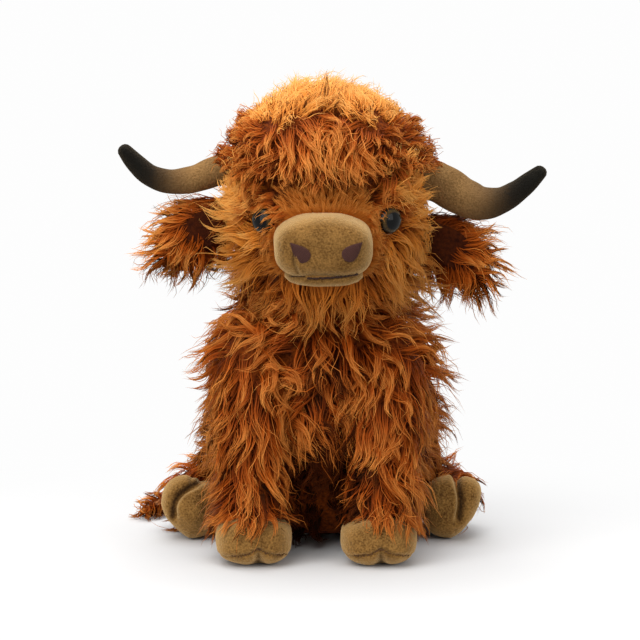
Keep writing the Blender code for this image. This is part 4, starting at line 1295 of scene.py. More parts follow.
@dataclass(frozen=True)
class HornCloth(Finish):
    """Velour airbrushed along X: tan, then olive brown, then nearly black at the tip."""

    side: float = 1.0
    fade: tuple[float, float] = (0.09, 0.13)

    def make(self, tree: Tree, shader: Node) -> None:
        """Fill in the material, on Object coordinates.

        Args:
            tree: the material's tree.
            shader: its Principled shader.
        """
        mask = napped(tree, shader, (90.0, 820.0), 0.9)
        place = add(tree, "TexCoord").outputs["Object"]
        across = add(tree, "SeparateXYZ", {0: place}).outputs["X"]
        smear = add(tree, "Math", {0: mask, 1: 0.016 * self.side, 2: across},
                    operation="MULTIPLY_ADD").outputs[0]
        spread = add(tree, "MapRange", {"From Min": self.side * (self.fade[0] + 0.008),
                                        "From Max": self.side * (self.fade[1] + 0.008),
                                        "Value": smear}).outputs["Result"]
        brush = ramp(tree, spread, (
            (0.0, (0.270, 0.150, 0.055)), (0.30, (0.170, 0.095, 0.038)),
            (0.55, (0.070, 0.042, 0.020)), (0.80, (0.014, 0.011, 0.008)),
            (1.0, (0.006, 0.006, 0.005))))
        patch = ramp(tree, mask, ((0.34, (0.52, 0.47, 0.40)), (0.62, (1.10, 1.08, 1.04))))
        fill(tree, shader, {"Base Color": mixed(tree, brush, patch, 0.90, "MULTIPLY"),
                            "Specular IOR Level": 0.10, "Sheen Weight": 0.12,
                            "Sheen Roughness": 0.5, "Sheen Tint": (0.90, 0.66, 0.38, 1.0)})


@dataclass(frozen=True)
class Iris(Finish):
    """A glossy printed eye: pupil, streaked iris and dark edge, by distance from its axis."""

    place: tuple[float, float, float] = (0.0, 0.0, 0.0)
    turn: tuple[float, float, float] = (0.0, 0.0, 0.0)
    radius: float = 0.0086

    def make(self, tree: Tree, shader: Node) -> None:
        """Fill in the material, on Object coordinates turned to the eye's axis.

        Args:
            tree: the material's tree.
            shader: its Principled shader.
        """
        place = add(tree, "TexCoord").outputs["Object"]
        local = add(tree, "Mapping", {"Location": self.place, "Rotation": self.turn,
                                      "Scale": (self.radius,) * 3, "Vector": place},
                    vector_type="TEXTURE").outputs["Vector"]
        flat = add(tree, "VectorMath", {0: local, 1: (1.0, 1.0, 0.0)},
                   operation="MULTIPLY").outputs["Vector"]
        far = add(tree, "VectorMath", {0: flat}, operation="LENGTH").outputs["Value"]
        ray = add(tree, "VectorMath", {0: flat}, operation="NORMALIZE").outputs["Vector"]
        streak = add(tree, "TexNoise", {"Scale": 9.0, "Detail": 5.0, "Vector": ray}).outputs["Fac"]
        rings = ramp(tree, far, (
            (0.0, (0.002, 0.002, 0.002)), (0.60, (0.002, 0.002, 0.002)),
            (0.65, (0.055, 0.028, 0.005)), (0.76, (0.095, 0.052, 0.009)),
            (0.86, (0.020, 0.011, 0.004)), (0.93, (0.003, 0.002, 0.002))))
        lines = ramp(tree, streak, ((0.34, (0.30, 0.30, 0.30)), (0.62, WHITE)))
        fill(tree, shader, {"Base Color": mixed(tree, rings, lines, 0.9, "MULTIPLY"),
                            "Roughness": 0.06, "Specular IOR Level": 0.13})


@dataclass(frozen=True)
class Plain(Finish):
    """One colour and a sheen, for threads and plastic."""

    colour: Colour = (0.1, 0.1, 0.1)
    roughness: float = 0.6

    def make(self, tree: Tree, shader: Node) -> None:
        """Set the colour and the gloss."""
        fill(tree, shader, {"Base Color": (*self.colour, 1.0), "Roughness": self.roughness,
                            "Specular IOR Level": 0.35})


LONG_FUR = Fur("long_fur",
               dark=((0.0, (0.034, 0.0028, 0.0002)), (0.45, (0.19, 0.023, 0.0012)),
                     (1.0, (0.44, 0.095, 0.008))),
               light=((0.0, (0.14, 0.017, 0.001)), (0.45, (0.48, 0.098, 0.008)),
                      (1.0, (0.93, 0.39, 0.085))))
# Painted light: a paler copy of the long fur for the cheeks, which lie in less light.
CHEEK_FUR_PAINTED_LIGHT = Fur("cheek_fur",
                dark=((0.0, (0.16, 0.026, 0.002)), (0.4, (0.55, 0.130, 0.012)),
                      (1.0, (0.84, 0.30, 0.048))),
                light=((0.0, (0.36, 0.080, 0.007)), (0.4, (0.86, 0.29, 0.038)),
                       (1.0, (0.98, 0.50, 0.130))))
# Painted light: a paler copy of the long fur for the top of the crown, which is lit from above.
CROWN_FUR_PAINTED_LIGHT = Fur("crown_fur",
                dark=((0.0, (0.34, 0.075, 0.006)), (0.4, (0.72, 0.225, 0.028)),
                      (1.0, (0.86, 0.340, 0.066))),
                light=((0.0, (0.50, 0.150, 0.018)), (0.4, (0.86, 0.35, 0.068)),
                       (1.0, (0.88, 0.49, 0.155))))
SHORT_PILE = Fur("short_pile",
                 dark=((0.0, (0.18, 0.032, 0.002)), (0.5, (0.38, 0.088, 0.008)),
                       (1.0, (0.52, 0.155, 0.020))),
                 light=((0.0, (0.25, 0.053, 0.004)), (0.5, (0.52, 0.155, 0.020)),
                        (1.0, (0.70, 0.29, 0.060))))
# Painted shade: the backing under all fur is a near-black red-brown, so that gaps between locks
# read as deep shade.
SKIN_PAINTED_SHADE = Velour("fur_ground", low=(0.035, 0.004, 0.0003), high=(0.20, 0.040, 0.003),
              nap_scale=420.0, bump=1.0, sheen=0.0)
# The edge colours of TAN and MUZZLE_CLOTH are a painted sheen at their edges; with them comes
# painted shade in their folds.
TAN = Velour("tan_velour", low=(0.085, 0.036, 0.0070), high=(0.285, 0.146, 0.038),
             patch_scale=90.0, nap_scale=820.0, bump=1.0, sheen=0.6, edge=(0.56, 0.33, 0.115))
MUZZLE_CLOTH = Velour("muzzle_velour", low=(0.105, 0.046, 0.0090), high=(0.285, 0.144, 0.038),
                      patch_scale=80.0, nap_scale=820.0, bump=1.0, sheen=0.8,
                      edge=(0.70, 0.44, 0.175))
# The ear's lining is a real piece of its own; its near-black brown is painted shade in the hollow.
LINING_PAINTED_SHADE = Velour("ear_hollow", low=(0.022, 0.0030, 0.0004), high=(0.060, 0.011, 0.0012),
                nap_scale=400.0, bump=1.0, sheen=0.0)
BAG = Velour("pellet_bag", low=(0.50, 0.47, 0.40), high=(0.66, 0.64, 0.57), nap_scale=500.0)
WASHER = Plain("white_plastic", colour=(0.78, 0.78, 0.76), roughness=0.4)
NOSTRIL = Plain("nostril_thread", colour=(0.052, 0.015, 0.010), roughness=0.8)
SEAM = Plain("seam_thread", colour=(0.085, 0.034, 0.008), roughness=0.8)
STITCH = Plain("mouth_thread", colour=(0.026, 0.009, 0.004), roughness=0.95)
RIM = Plain("eye_rim", colour=(0.20, 0.12, 0.06), roughness=0.35)
FIBRE = Velour("white_fibre", low=(0.70, 0.69, 0.66), high=(0.86, 0.86, 0.84), nap_scale=300.0)


BODY_SHARES = (
    (0.0, 0.56, 0.60, 0.0),
    (0.035, 0.74, 0.80, 0.0),
    (0.11, 0.88, 0.93, 0.02),
    (0.26, 0.965, 1.0, 0.12),
    (0.44, 1.0, 0.98, 0.34),
    (0.62, 1.0, 0.91, 0.60),
    (0.76, 0.97, 0.82, 0.82),
    (0.87, 0.88, 0.71, 0.95),
    (0.94, 0.74, 0.60, 1.0),
    (0.985, 0.52, 0.45, 1.0),
    (1.0, 0.0, 0.0, 1.0),
)
HEAD_SHARES = (
    (0.0, 0.52, 0.52, 0.0),
    (0.03, 0.70, 0.70, 0.0),
    (0.12, 0.87, 0.88, 0.0),
    (0.26, 0.97, 0.98, 0.0),
    (0.42, 1.0, 1.0, 0.0),
    (0.58, 0.985, 0.97, 0.0),
    (0.73, 0.90, 0.88, 0.0),
    (0.86, 0.72, 0.71, 0.0),
    (0.95, 0.48, 0.48, 0.0),
    (0.99, 0.24, 0.24, 0.0),
    (1.0, 0.0, 0.0, 0.0),
)
BODY = Loft(low=0.0, high=0.162, half_width=0.067, half_depth=0.063, middle=(0.0, 0.021),
            lean=0.024, shares=BODY_SHARES)
HEAD = Loft(low=0.166, high=0.281, half_width=0.062, half_depth=0.061, middle=(0.004, -0.021),
            lean=0.0, shares=HEAD_SHARES)


def bowed(start: Array, end: Array, bow: Array, shares: Rows, radius: float) -> Tube:
    """A limb's form: a straight run from root to end, bowed by a share at each row.

    Args:
        start: the root's middle.
        end: the end's middle.
        bow: the way and size of the whole bow.
        shares: rows of run, bow and radius.
        radius: the radius that the shares are of.

    Returns:
        The tube.
    """
    rows = [(*(start + (end - start) * run + bow * part), radius * size)
            for run, part, size in shares]
    return Tube(tuple(tuple(float(v) for v in row) for row in rows))


@dataclass
class Torso:
    """The fur bag of the body."""

    form: Loft = BODY
    keep_out: list = field(default_factory=list)

    def build(self) -> None:
        """Build the backing and its fur."""
        ground = self.form.skin("body_ground", SKIN_INSET)
        settle(ground, SKIN_PAINTED_SHADE, "torso", "fur", "body_skin")
        pelt = Pelt(self.form, keep_out=self.keep_out)
        coat = Coat(comb=Comb.SPREAD, tint=0.40, strands=23, radius=0.00034)
        rear = Coat(strands=17, points=6, radius=0.00040, tint=0.42, lift=0.42, swirl=1.2)

        def part(back: bool, sign: float) -> Mask:
            """Says which roots are on one side of the front or of the back."""
            def held(p: Array, n: Array) -> Array:
                """One quarter of the body."""
                behind = (p[:, 1] > 0.012) == back
                return behind & (p[:, 0] * sign >= 0) & (p[:, 2] > 0.012) & (p[:, 2] < 0.157)
            return held

        def gap(p: Array) -> Array:
            """Shorter fur low down between the forelegs, and on the cow's right."""
            low = np.clip((0.075 - p[:, 2]) / 0.03, 0, 1) * (np.abs(p[:, 0]) < 0.030)
            right = np.clip((-0.030 - p[:, 0]) / 0.03, 0, 1)
            return (1.0 - 0.78 * low * (p[:, 1] < 0)) * (1 - 0.20 * right)

        def deep(p: Array) -> Array:
            """Painted shade: darker fur down the middle and between the forelegs; and paler at the
            throat.
            """
            low = np.clip((0.088 - p[:, 2]) / 0.02, 0, 1) * bell(p[:, 0], 0.032)
            high = 0.22 * np.clip((p[:, 2] - 0.122) / 0.025, 0, 1)
            return (high - 1.0 * low - 0.20 * bell(p[:, 0], 0.045)) * (p[:, 1] < 0)

        for side in Side:
            pelt.grow("fur_chest_" + side.word, "torso", coat, LONG_FUR, part(False, side.value),
                      gap, 2 + int(side.value), deep)
            pelt.grow("fur_back_" + side.word, "torso", rear, LONG_FUR, part(True, side.value),
                      gap, seed=5 + int(side.value))


FORELEG_SHARES = ((0.0, 0.0, 1.0), (0.18, 0.75, 0.985), (0.40, 1.0, 0.945), (0.64, 0.72, 0.90),
                  (0.84, 0.30, 0.885), (1.0, 0.0, 0.85))
HIND_SHARES = ((0.0, 0.0, 1.0), (0.30, 0.75, 0.95), (0.58, 1.0, 0.915), (0.82, 0.55, 0.895),
               (1.0, 0.0, 0.86))


def foreleg_form(side: Side) -> Tube:
    """The foreleg's form, from the shoulder to the ankle."""
    foot = {Side.LEFT: 0.0365, Side.RIGHT: 0.0405}[side]
    start = np.array([0.0425 * side.value, -0.027, 0.122])
    end = np.array([foot * side.value, -0.063, 0.026])
    return bowed(start, end, np.array([0.0, -0.007, 0.0]), FORELEG_SHARES, 0.0212)


def hind_form(side: Side) -> Tube:
    """The hind leg's form, from the hip to the hock."""
    start = np.array([0.054 * side.value, 0.046, 0.0315])
    end = np.array([0.0835 * side.value, 0.017, 0.0215])
    return bowed(start, end, np.array([0.0075 * side.value, 0.0, 0.0]), HIND_SHARES, 0.0190)


@dataclass
class Foreleg:
    """A foreleg: its fur bag."""

    side: Side

    def build(self) -> None:
        """Build the backing and its fur."""
        form = foreleg_form(self.side)
        word = self.side.word
        ground = form.skin("foreleg_ground_" + word, LEG_INSET)
        settle(ground, SKIN_PAINTED_SHADE, "foreleg_" + word, "fur", "foreleg_skin_" + word)
        hoof = Pod(((0.0365 if self.side is Side.LEFT else -0.0410), -0.0665, 0.0152),
                   (0.0238, 0.0245, 0.0156), 2.5)
        pelt = Pelt(form, keep_out=[(BODY, -SKIN_INSET), (hoof, 0.0006)], inset=LEG_INSET)
        coat = Coat(length=0.042, lift=0.40, swirl=0.7, loft=0.005, fall=0.12, spacing=0.0072,
                    strands=24, tint=0.38)

        def inner(p: Array) -> Array:
            """How far a root faces the other foreleg."""
            middle = 0.039 * self.side.value
            return np.clip((middle - p[:, 0]) * self.side.value / 0.014, 0, 1)

        def above_hoof(p: Array) -> Array:
            """Shorter fur near the hoof, and towards the other leg."""
            near = np.clip((p[:, 2] + 0.006) / 0.050, 0.50, 1)
            return near * (1 - 0.55 * inner(p) * (p[:, 2] < 0.085))

        def painted_gap_shade(p: Array) -> Array:
            """Painted shade: darker fur low down towards the other leg."""
            return -0.55 * inner(p) * np.clip((0.095 - p[:, 2]) / 0.02, 0, 1)

        def all_round(p: Array, n: Array) -> Array:
            """Every root outside the body."""
            away = np.linalg.norm(p - BODY.centre(), axis=-1)
            return away > BODY.reach(BODY.outward(p), -LEG_INSET)

        pelt.grow("fur_foreleg_" + word, "foreleg_" + word, coat, LONG_FUR, all_round,
                  above_hoof, 11 + int(self.side.value), painted_gap_shade)


@dataclass
class HindLeg:
    """A hind leg: its fur bag."""

    side: Side

    def build(self) -> None:
        """Build the backing and its fur."""
        form = hind_form(self.side)
        word = self.side.word
        ground = form.skin("hind_leg_ground_" + word, LEG_INSET)
        settle(ground, SKIN_PAINTED_SHADE, "hind_leg_" + word, "fur", "hind_leg_skin_" + word)
        pelt = Pelt(form, keep_out=[(BODY, -SKIN_INSET)], inset=LEG_INSET)
        coat = Coat(length=0.024, lift=0.42, loft=0.003, fall=0.04, points=6, strands=22,
                    spacing=0.0070)

        def outside(p: Array, n: Array) -> Array:
            """Every root outside the body and above the floor."""
            away = np.linalg.norm(p - BODY.centre(), axis=-1)
            return (away > BODY.reach(BODY.outward(p), -LEG_INSET)) & (p[:, 2] > 0.006)

        pelt.grow("fur_hind_leg_" + word, "hind_leg_" + word, coat, LONG_FUR, outside,
                  seed=21 + int(self.side.value))


HORN_SHARES = {
    Side.LEFT: ((0.0, 0.0, 0.0, 1.0), (0.19, -0.30, 0.05, 0.99), (0.36, -0.70, 0.15, 0.95),
                (0.52, -0.90, 0.30, 0.84), (0.68, -0.78, 0.50, 0.66), (0.82, -0.45, 0.70, 0.545),
                (0.93, -0.10, 0.87, 0.46), (1.0, 0.16, 1.0, 0.36)),
    Side.RIGHT: ((0.0, 0.0, 0.0, 1.0), (0.12, -0.12, 0.05, 0.97), (0.28, -0.42, 0.15, 0.90),
                 (0.45, -0.78, 0.30, 0.82), (0.64, -0.86, 0.50, 0.735),
                 (0.80, -0.52, 0.70, 0.66), (0.92, 0.12, 0.87, 0.58), (1.0, 0.66, 1.0, 0.44)),
}


@dataclass
class Horn:
    """A stuffed velour horn."""

    side: Side

    def form(self) -> Tube:
        """The horn's form, from its root in the head to the tip."""
        root, reach, rise, radius = {
            Side.LEFT: ((0.062, -0.010, 0.2345), 0.0745, 0.0190, 0.0128),
            Side.RIGHT: ((-0.044, -0.010, 0.2425), 0.0770, 0.0130, 0.0104)}[self.side]
        rows = [(root[0] + reach * r * self.side.value, root[1] - 0.012 * s, root[2] + rise * u,
                 radius * size) for r, u, s, size in HORN_SHARES[self.side]]
        return Tube(tuple(rows), 8)

    def build(self) -> None:
        """Build the horn."""
        word = self.side.word
        form = self.form()
        line = form.line()
        turn = 2 * math.pi * np.arange(48) / 48
        run = np.linspace(0, 1, len(line))[:, None]
        relief = 0.00022 * np.sin(run * 41 + 1.3 * np.sin(turn * 2)) * (1 - run)
        relief = relief + 0.00025 * np.sin(turn * 3 + run * 9)
        horn = form.skin("horn_cloth_" + word, 0.0, 48, relief)
        fade = {Side.LEFT: (0.088, 0.127), Side.RIGHT: (0.078, 0.113)}[self.side]
        settle(horn, HornCloth("horn_" + word, side=self.side.value, fade=fade),
               "horn_" + word, "horn_velour", "horn_" + word)


@dataclass
class Ear:
    """A drooping ear: its furred leaf and the dark hollow on its front."""

    side: Side

    def form(self) -> Leaf:
        """The ear's form."""
        root, droop = {Side.LEFT: ((0.062, -0.008, 0.205), 42.0),
                       Side.RIGHT: ((-0.0535, -0.008, 0.2135), 35.0)}[self.side]
        return Leaf(root, math.radians(droop), self.side.value)

    def build(self) -> None:
        """Build the leaf, the hollow and the fur."""
        word = self.side.word
        form = self.form()
        body = "ear_" + word
        leaf = form.skin("ear_ground_" + word, -0.0012)
        settle(leaf, SKIN_PAINTED_SHADE, body, "fur", "ear_" + word)
        hollow = Leaf((form.root[0] + 0.004 * form.side, form.root[1] - 0.0052, form.root[2]
                       - 0.002), form.droop, form.side, 0.040, 0.0112, 0.0018)
        lining = hollow.skin("ear_hollow_" + word, 0.0)
        settle(lining, LINING_PAINTED_SHADE, body, "ear_lining", "ear_lining_" + word)
        pelt = Pelt(form, whorl=form.root, keep_out=[(HEAD, -SKIN_INSET)], inset=0.0012)
        coat = Coat(comb=Comb.OUT, spacing=0.0056, strands=23, length=0.031, lift=0.24,
                    fall=0.01, wave=0.36, swirl=0.6, spread=0.0052, thick=0.0022, stray=0.18,
                    loft=0.004, twist=0.22, wave_length=0.034, gather=0.92, tint=0.92)

        def rim(p: Array, n: Array) -> Array:
            """The back, the rim and the outer half of the front."""
            share, u, v = form.local(p, 0.0)
            front = (v < -0.35) & (np.abs(u) < 0.66) & (share > 0.06) & (share < 0.50)
            return (share > 0.05) & ~front

        def shadow(p: Array) -> Array:
            """Darker fur towards the head."""
            share = form.local(p, 0.0)[0]
            return -0.50 * np.clip((0.45 - share) / 0.3, 0, 1)

        pelt.grow("fur_ear_" + word, body, coat, LONG_FUR, rim,
                  seed=61 + int(self.side.value), shade=shadow)


@dataclass
class Hooves:
    """The velour hooves of one side: a front one and a hind one."""

    side: Side

    def build(self) -> None:
        """Build both hooves."""
        self.front()
        self.hind()

    def front(self) -> None:
        """The front hoof: a round shoe with a cleft and a seam above its sole."""
        word = self.side.word
        middle, cleft = {Side.LEFT: (0.0365, 0.0378), Side.RIGHT: (-0.0410, -0.0378)}[self.side]
        pod = Pod((middle, -0.0665, 0.0152), (0.0238, 0.0245, 0.0156), 2.5, True)

        def relief(p: Array) -> Array:
            """A cleft that opens towards the sole, and a puckered seam round the toes."""
            front = np.clip((-0.070 - p[:, 1]) / 0.010, 0, 1)
            low = np.clip((0.0175 - p[:, 2]) / 0.010, 0, 1)
            wide = 0.0016 + 0.20 * np.clip(0.0135 - p[:, 2], 0, 1)
            split = 0.0034 * bell(p[:, 0] - cleft, wide) * front * low
            height = seam_height(p[:, 0])
            seam = 0.0009 * bell(p[:, 2] - height, 0.0009) * front
            fold = -0.0005 * bell(p[:, 2] - height - 0.0030, 0.0022) * front
            pucker = 0.0004 * ripple(p, 0.0030, 5) * bell(p[:, 2] - height, 0.0040) * front
            return split + seam + fold + pucker - 0.0004 * ripple(p, 0.022, 6)

        def seam_height(x: Array) -> Array:
            """The seam's height: an arch over the cleft that falls to both sides."""
            away = np.abs(x - cleft)
            fall = 0.0030 * np.clip(away / 0.020, 0, 1) ** 2
            return 0.0098 + 0.0034 * bell(away, 0.0050) - fall

        def dark(p: Array) -> Array:
            """Painted shade in the cleft and along the seam."""
            wide = 0.0010 + 0.12 * np.clip(0.0135 - p[:, 2], 0, 1)
            low = np.clip((0.0135 - p[:, 2]) / 0.0045, 0, 1)
            seam = bell(p[:, 2] - seam_height(p[:, 0]) - 0.0004, 0.0008)
            return (0.55 * bell(p[:, 0] - cleft, wide) * low + 0.45 * seam) * (p[:, 1] < -0.070)

        hoof = pod.skin("front_hoof_cloth_" + word, relief, 120, 80, dark)
        settle(hoof, TAN, "foreleg_" + word, "velour", "front_hoof_" + word)
        rng = np.random.default_rng(SEED + 8)
        count, points = 34, 5
        x = cleft + np.linspace(-0.0165, 0.0165, count) + rng.normal(size=count) * 0.0003
        t = np.linspace(-0.5, 0.5, points)
        span = rng.uniform(0.0006, 0.0013, (count, 1))
        lean = rng.uniform(-0.9, 0.9, (count, 1))
        lift = rng.normal(size=(count, 1)) * 0.0005
        flat = np.stack([x[:, None] + span * t, seam_height(x)[:, None] + lift + span * lean * t],
                        -1)
        y = pod.front_at(flat[..., 0], flat[..., 1]) + 0.0007
        stitches = strand_mesh("front_hoof_seam_" + word,
                               np.stack([flat[..., 0], y, flat[..., 1]], -1),
                               0.00042 * (0.5 + np.cos(np.pi * t))[None].repeat(count, 0),
                               np.full(count, 0.5), 5)
        settle(stitches, SEAM, "foreleg_" + word, "velour", padded=False)

    def hind(self) -> None:
        """The hind hoof, its sole to the front: two toes with a groove between them."""
        word, sign = self.side.word, self.side.value
        middle, grooves, bulge = {
            Side.LEFT: (0.0828, (
                (((0.0858, 0.0440), (0.0880, 0.0345), (0.0892, 0.0275), (0.0890, 0.0224),
                  (0.0880, 0.0150)), 0.0050, 0.0026),
                (((0.0775, 0.0352), (0.0756, 0.0288)), 0.0009, 0.0009)), (0.0985, 0.0330)),
            Side.RIGHT: (-0.0828, (
                (((-0.0712, 0.0398), (-0.0781, 0.0372), (-0.0857, 0.0335), (-0.0907, 0.0284),
                  (-0.0929, 0.0226), (-0.0932, 0.0160)), 0.0036, 0.0026),
                (((-0.0800, 0.0420), (-0.0815, 0.0395)), 0.0014, 0.0020)), (-0.0800, 0.0190)),
        }[self.side]
        pod = Pod((middle, 0.0020, 0.0204), (0.0184, 0.0150, 0.0202), 2.35, True)

        def relief(p: Array) -> Array:
            """The grooves, the inner toe's swell and the drawn-in lower outer corner."""
            over = 0.014 * np.clip((p[:, 2] - 0.028) / 0.006, 0, 1)
            front = np.clip((0.008 + over - p[:, 1]) / 0.008, 0, 1)
            sink = -0.0034 * bell(np.hypot(p[:, 0] - bulge[0], p[:, 2] - bulge[1]), 0.008)
            for line, deep, wide in grooves:
                rows = smooth_rows(np.array(line), 4)
                sink = sink + deep * bell(segment_distance(p, rows), wide) * front
            out = np.clip((p[:, 0] * sign - 0.083) / 0.015, 0, 1)
            low = np.clip((0.022 - p[:, 2]) / 0.022, 0, 1)
            return sink + 0.0070 * out * low - 0.0004 * ripple(p, 0.020, 8)

        def dark(p: Array) -> Array:
            """Painted shade in the grooves, the shallow ones less."""
            shade = np.zeros(len(p))
            for line, deep, wide in grooves:
                rows = smooth_rows(np.array(line), 4)
                share = 0.9 * min(1.0, deep / 0.0030)
                shade = np.maximum(shade, share * bell(segment_distance(p, rows), wide * 0.8))
            return shade * (p[:, 1] < 0.006)

        hoof = pod.skin("hind_hoof_cloth_" + word, relief, 112, 80, dark)
        settle(hoof, TAN, "hind_leg_" + word, "velour", "hind_hoof_" + word)


@dataclass
class Tail:
    """The tail's tube and its tuft, on the floor behind the cow's right hip."""

    def build(self) -> None:
        """Build the tube, the tuft and their fur."""
        root = (0.0, 0.07974, 0.036)
        shares = ((0.0, 0.0, 0.0, 1.15), (0.10, 0.46, 0.16, 1.0), (0.27, 0.86, 0.52, 0.96),
                  (0.48, 1.0, 0.86, 0.92), (0.74, 0.78, 0.985, 0.88), (1.0, 0.32, 1.0, 0.84))
        drop = root[2] - 0.0052 * 0.84 + 0.0003
        rows = [(root[0] - 0.084 * a, root[1] + 0.020 * b, root[2] - drop * d, 0.0052 * r)
                for a, b, d, r in shares]
        tube = Tube(tuple(rows))
        end = rows[-1]
        ends = ((0.0, 0.0, 0.62), (0.22, 0.16, 0.90), (0.48, 0.42, 1.0), (0.76, 0.74, 0.84),
                (1.0, 1.0, 0.40))
        tuft = Tube(tuple((end[0] - 0.030 * a, end[1] - 0.030 * f, max(0.0082 * r, 0.0052),
                           0.0082 * r) for a, f, r in ends))
        for form, node, inset in ((tube, "tail", 0.0012), (tuft, "tail_tuft", 0.003)):
            ground = form.skin(node + "_ground", inset)
            settle(ground, SKIN_PAINTED_SHADE, "tail", "fur" if node == "tail" else "forelock_fur", node)
        legs = [(hind_form(Side.RIGHT), -LEG_INSET), (BODY, -SKIN_INSET)]

        def above(p: Array, n: Array) -> Array:
            """Every root above the floor."""
            return p[:, 2] > 0.0012

        Pelt(tube, keep_out=legs, inset=0.0012).grow(
            "fur_tail", "tail", Coat(spacing=0.0048, strands=12, length=0.012, lift=0.35,
                                     spread=0.0022, thick=0.0012, wave=0.2, loft=0.001),
            LONG_FUR, above, seed=71)
        Pelt(tuft, whorl=(end[0] + 0.012, end[1] + 0.012, 0.006), keep_out=legs,
             inset=0.003).grow(
            "fur_tuft", "tail", Coat(comb=Comb.OUT, spacing=0.0050, strands=14, length=0.014,
                                     spread=0.003, lift=0.10, fall=0.10, swirl=0.3, tint=0.6,
                                     loft=0.001, stray=0.2, flick=0.0), LONG_FUR, above,
            seed=72)


@dataclass
class Muzzle:
    """The velour muzzle with its lip, embroidered nostrils and mouth."""

    box: Pod = Pod((0.0020, -0.0836, 0.2026), (0.0303, 0.0258, 0.0196), 3.4)
    chin: Pod = Pod((0.0024, -0.0835, 0.1838), (0.0240, 0.0222, 0.0060), 2.4)
    mouth: tuple[tuple[float, float], ...] = (
        (-0.0190, 0.1853), (-0.0110, 0.1861), (-0.0060, 0.1851), (0.0010, 0.1853),
        (0.0080, 0.1858), (0.0160, 0.1862), (0.0232, 0.1871))
    crease: tuple[tuple[float, float], ...] = (
        (-0.0166, 0.2005), (-0.0156, 0.1940), (-0.0134, 0.1882))

    def build(self) -> None:
        """Build the muzzle's pieces."""
        box = self.box.skin("muzzle_cloth", self.relief, 144, 96, self.fold)
        chin = self.chin.skin("lip_cloth", lambda p: 0.0003 * ripple(p, 0.018, 3), 72, 32)
        for piece, node in ((box, "muzzle"), (chin, "lower_lip")):
            settle(piece, MUZZLE_CLOTH, "head", "velour", node)
        for side in Side:
            self.nostril(side)
        self.stitches()

    def taper(self, z: Array) -> Array:
        """How wide the muzzle is at a height, as a share: narrower above than below."""
        t = (z - self.box.middle[2]) / self.box.half[2]
        return 1.0 - 0.22 * np.clip(t, 0, 1) ** 2 - 0.06 * np.clip(-t, 0, 1) ** 2

    def relief(self, p: Array) -> Array:
        """The taper, one crease at the cow's right nostril, and the unevenness of stuffing."""
        across = p[:, 0] - self.box.middle[0]
        narrow = across**2 / self.box.half[0] * (1 - self.taper(p[:, 2]))
        front = np.clip((-0.092 - p[:, 1]) / 0.008, 0, 1)
        beside = np.array(self.crease) + np.array([0.0024, 0.0])
        swell = -0.0006 * bell(segment_distance(p, beside), 0.002) * front
        return narrow + 0.0014 * self.fold(p) + swell - 0.00045 * ripple(p, 0.026, 4)

    def fold(self, p: Array) -> Array:
        """The crease, from 0 beside it to 0.8 in its middle: its depth in the relief and its
        painted shade.
        """
        front = np.clip((-0.092 - p[:, 1]) / 0.008, 0, 1)
        return 0.8 * bell(segment_distance(p, np.array(self.crease)), 0.0008) * front

    def nostril(self, side: Side) -> None:
        """A teardrop of satin stitches: threads side by side across it, domed in the middle.

        The half width at a share of the length is twice the share times the root of one minus
        its square, so that the drop is pointed at its start and round at its end.
        """
        tip, low = {Side.LEFT: ((0.0258, 0.2074), (0.0148, 0.1971)),
                    Side.RIGHT: ((-0.0181, 0.2074), (-0.0070, 0.1969))}[side]
        tip, low = np.array(tip), np.array(low)
        length = np.linalg.norm(low - tip)
        way = (low - tip) / length
        over = np.array([-way[1], way[0]])
        count, points = 40, 9
        share = (np.arange(count) + 0.6) / count
        half = 0.0050 * 2 * share * np.sqrt(1 - share**2)
        t = np.linspace(-1, 1, points)
        flat = (tip + way * (share * length)[:, None])[:, None] + over * (half[:, None]
                                                                         * t)[..., None]
        rng = np.random.default_rng(SEED + 5)
        flat = flat + way * rng.normal(size=(count, 1, 1)) * 0.00005
        rise = 0.0002 + 0.0006 * (1 - t**2) * np.sin(np.pi * share)[:, None] ** 0.5
        y = self.box.front_at(flat[..., 0], flat[..., 1]) - rise
        lines = np.stack([flat[..., 0], y, flat[..., 1]], -1)
        radius = np.full(lines.shape[:2], 0.00024)
        tint = rng.uniform(0.2, 0.8, count)
        drop = strand_mesh("nostril_threads_" + side.word, lines, radius, tint, 6)
        settle(drop, NOSTRIL, "head", "nostril_thread", "nostril_" + side.word, padded=False)

    def stitches(self) -> None:
        """The mouth: short overlapping stitches of uneven length, with one gap."""
        rng = np.random.default_rng(SEED + 6)
        line = smooth_rows(np.array(self.mouth), 12)
        run = np.linspace(0, 1, len(line))
        start = np.concatenate([np.linspace(0.0, 0.18, 4), np.linspace(0.27, 0.93, 22)])
        span = np.concatenate([rng.uniform(0.05, 0.09, 4), rng.uniform(0.035, 0.075, 22)])
        heavy = np.concatenate([np.full(4, 0.00030), rng.uniform(0.00042, 0.00080, 22)])
        points = 7
        t = np.linspace(0, 1, points)
        place = np.clip(start[:, None] + span[:, None] * t, 0, 1)
        x, z = (np.interp(place, run, line[:, k]) for k in range(2))
        tilt = rng.uniform(-0.00045, 0.00045, (len(start), 1))
        z = z + tilt * (2 * t - 1) + rng.normal(size=(len(start), 1)) * 0.00012
        y = np.minimum(self.box.front_at(x, z), self.chin.front_at(x, z))
        y = np.minimum(y, -0.0975) - 0.0010
        lines = np.stack([x, y, z], -1)
        radius = heavy[:, None] * (0.45 + 0.55 * np.sin(np.pi * t))
        thread = strand_mesh("mouth_threads", lines, radius, rng.uniform(0.2, 0.8, len(start)), 6)
        settle(thread, STITCH, "head", "mouth_thread", "mouth_stitching", padded=False)


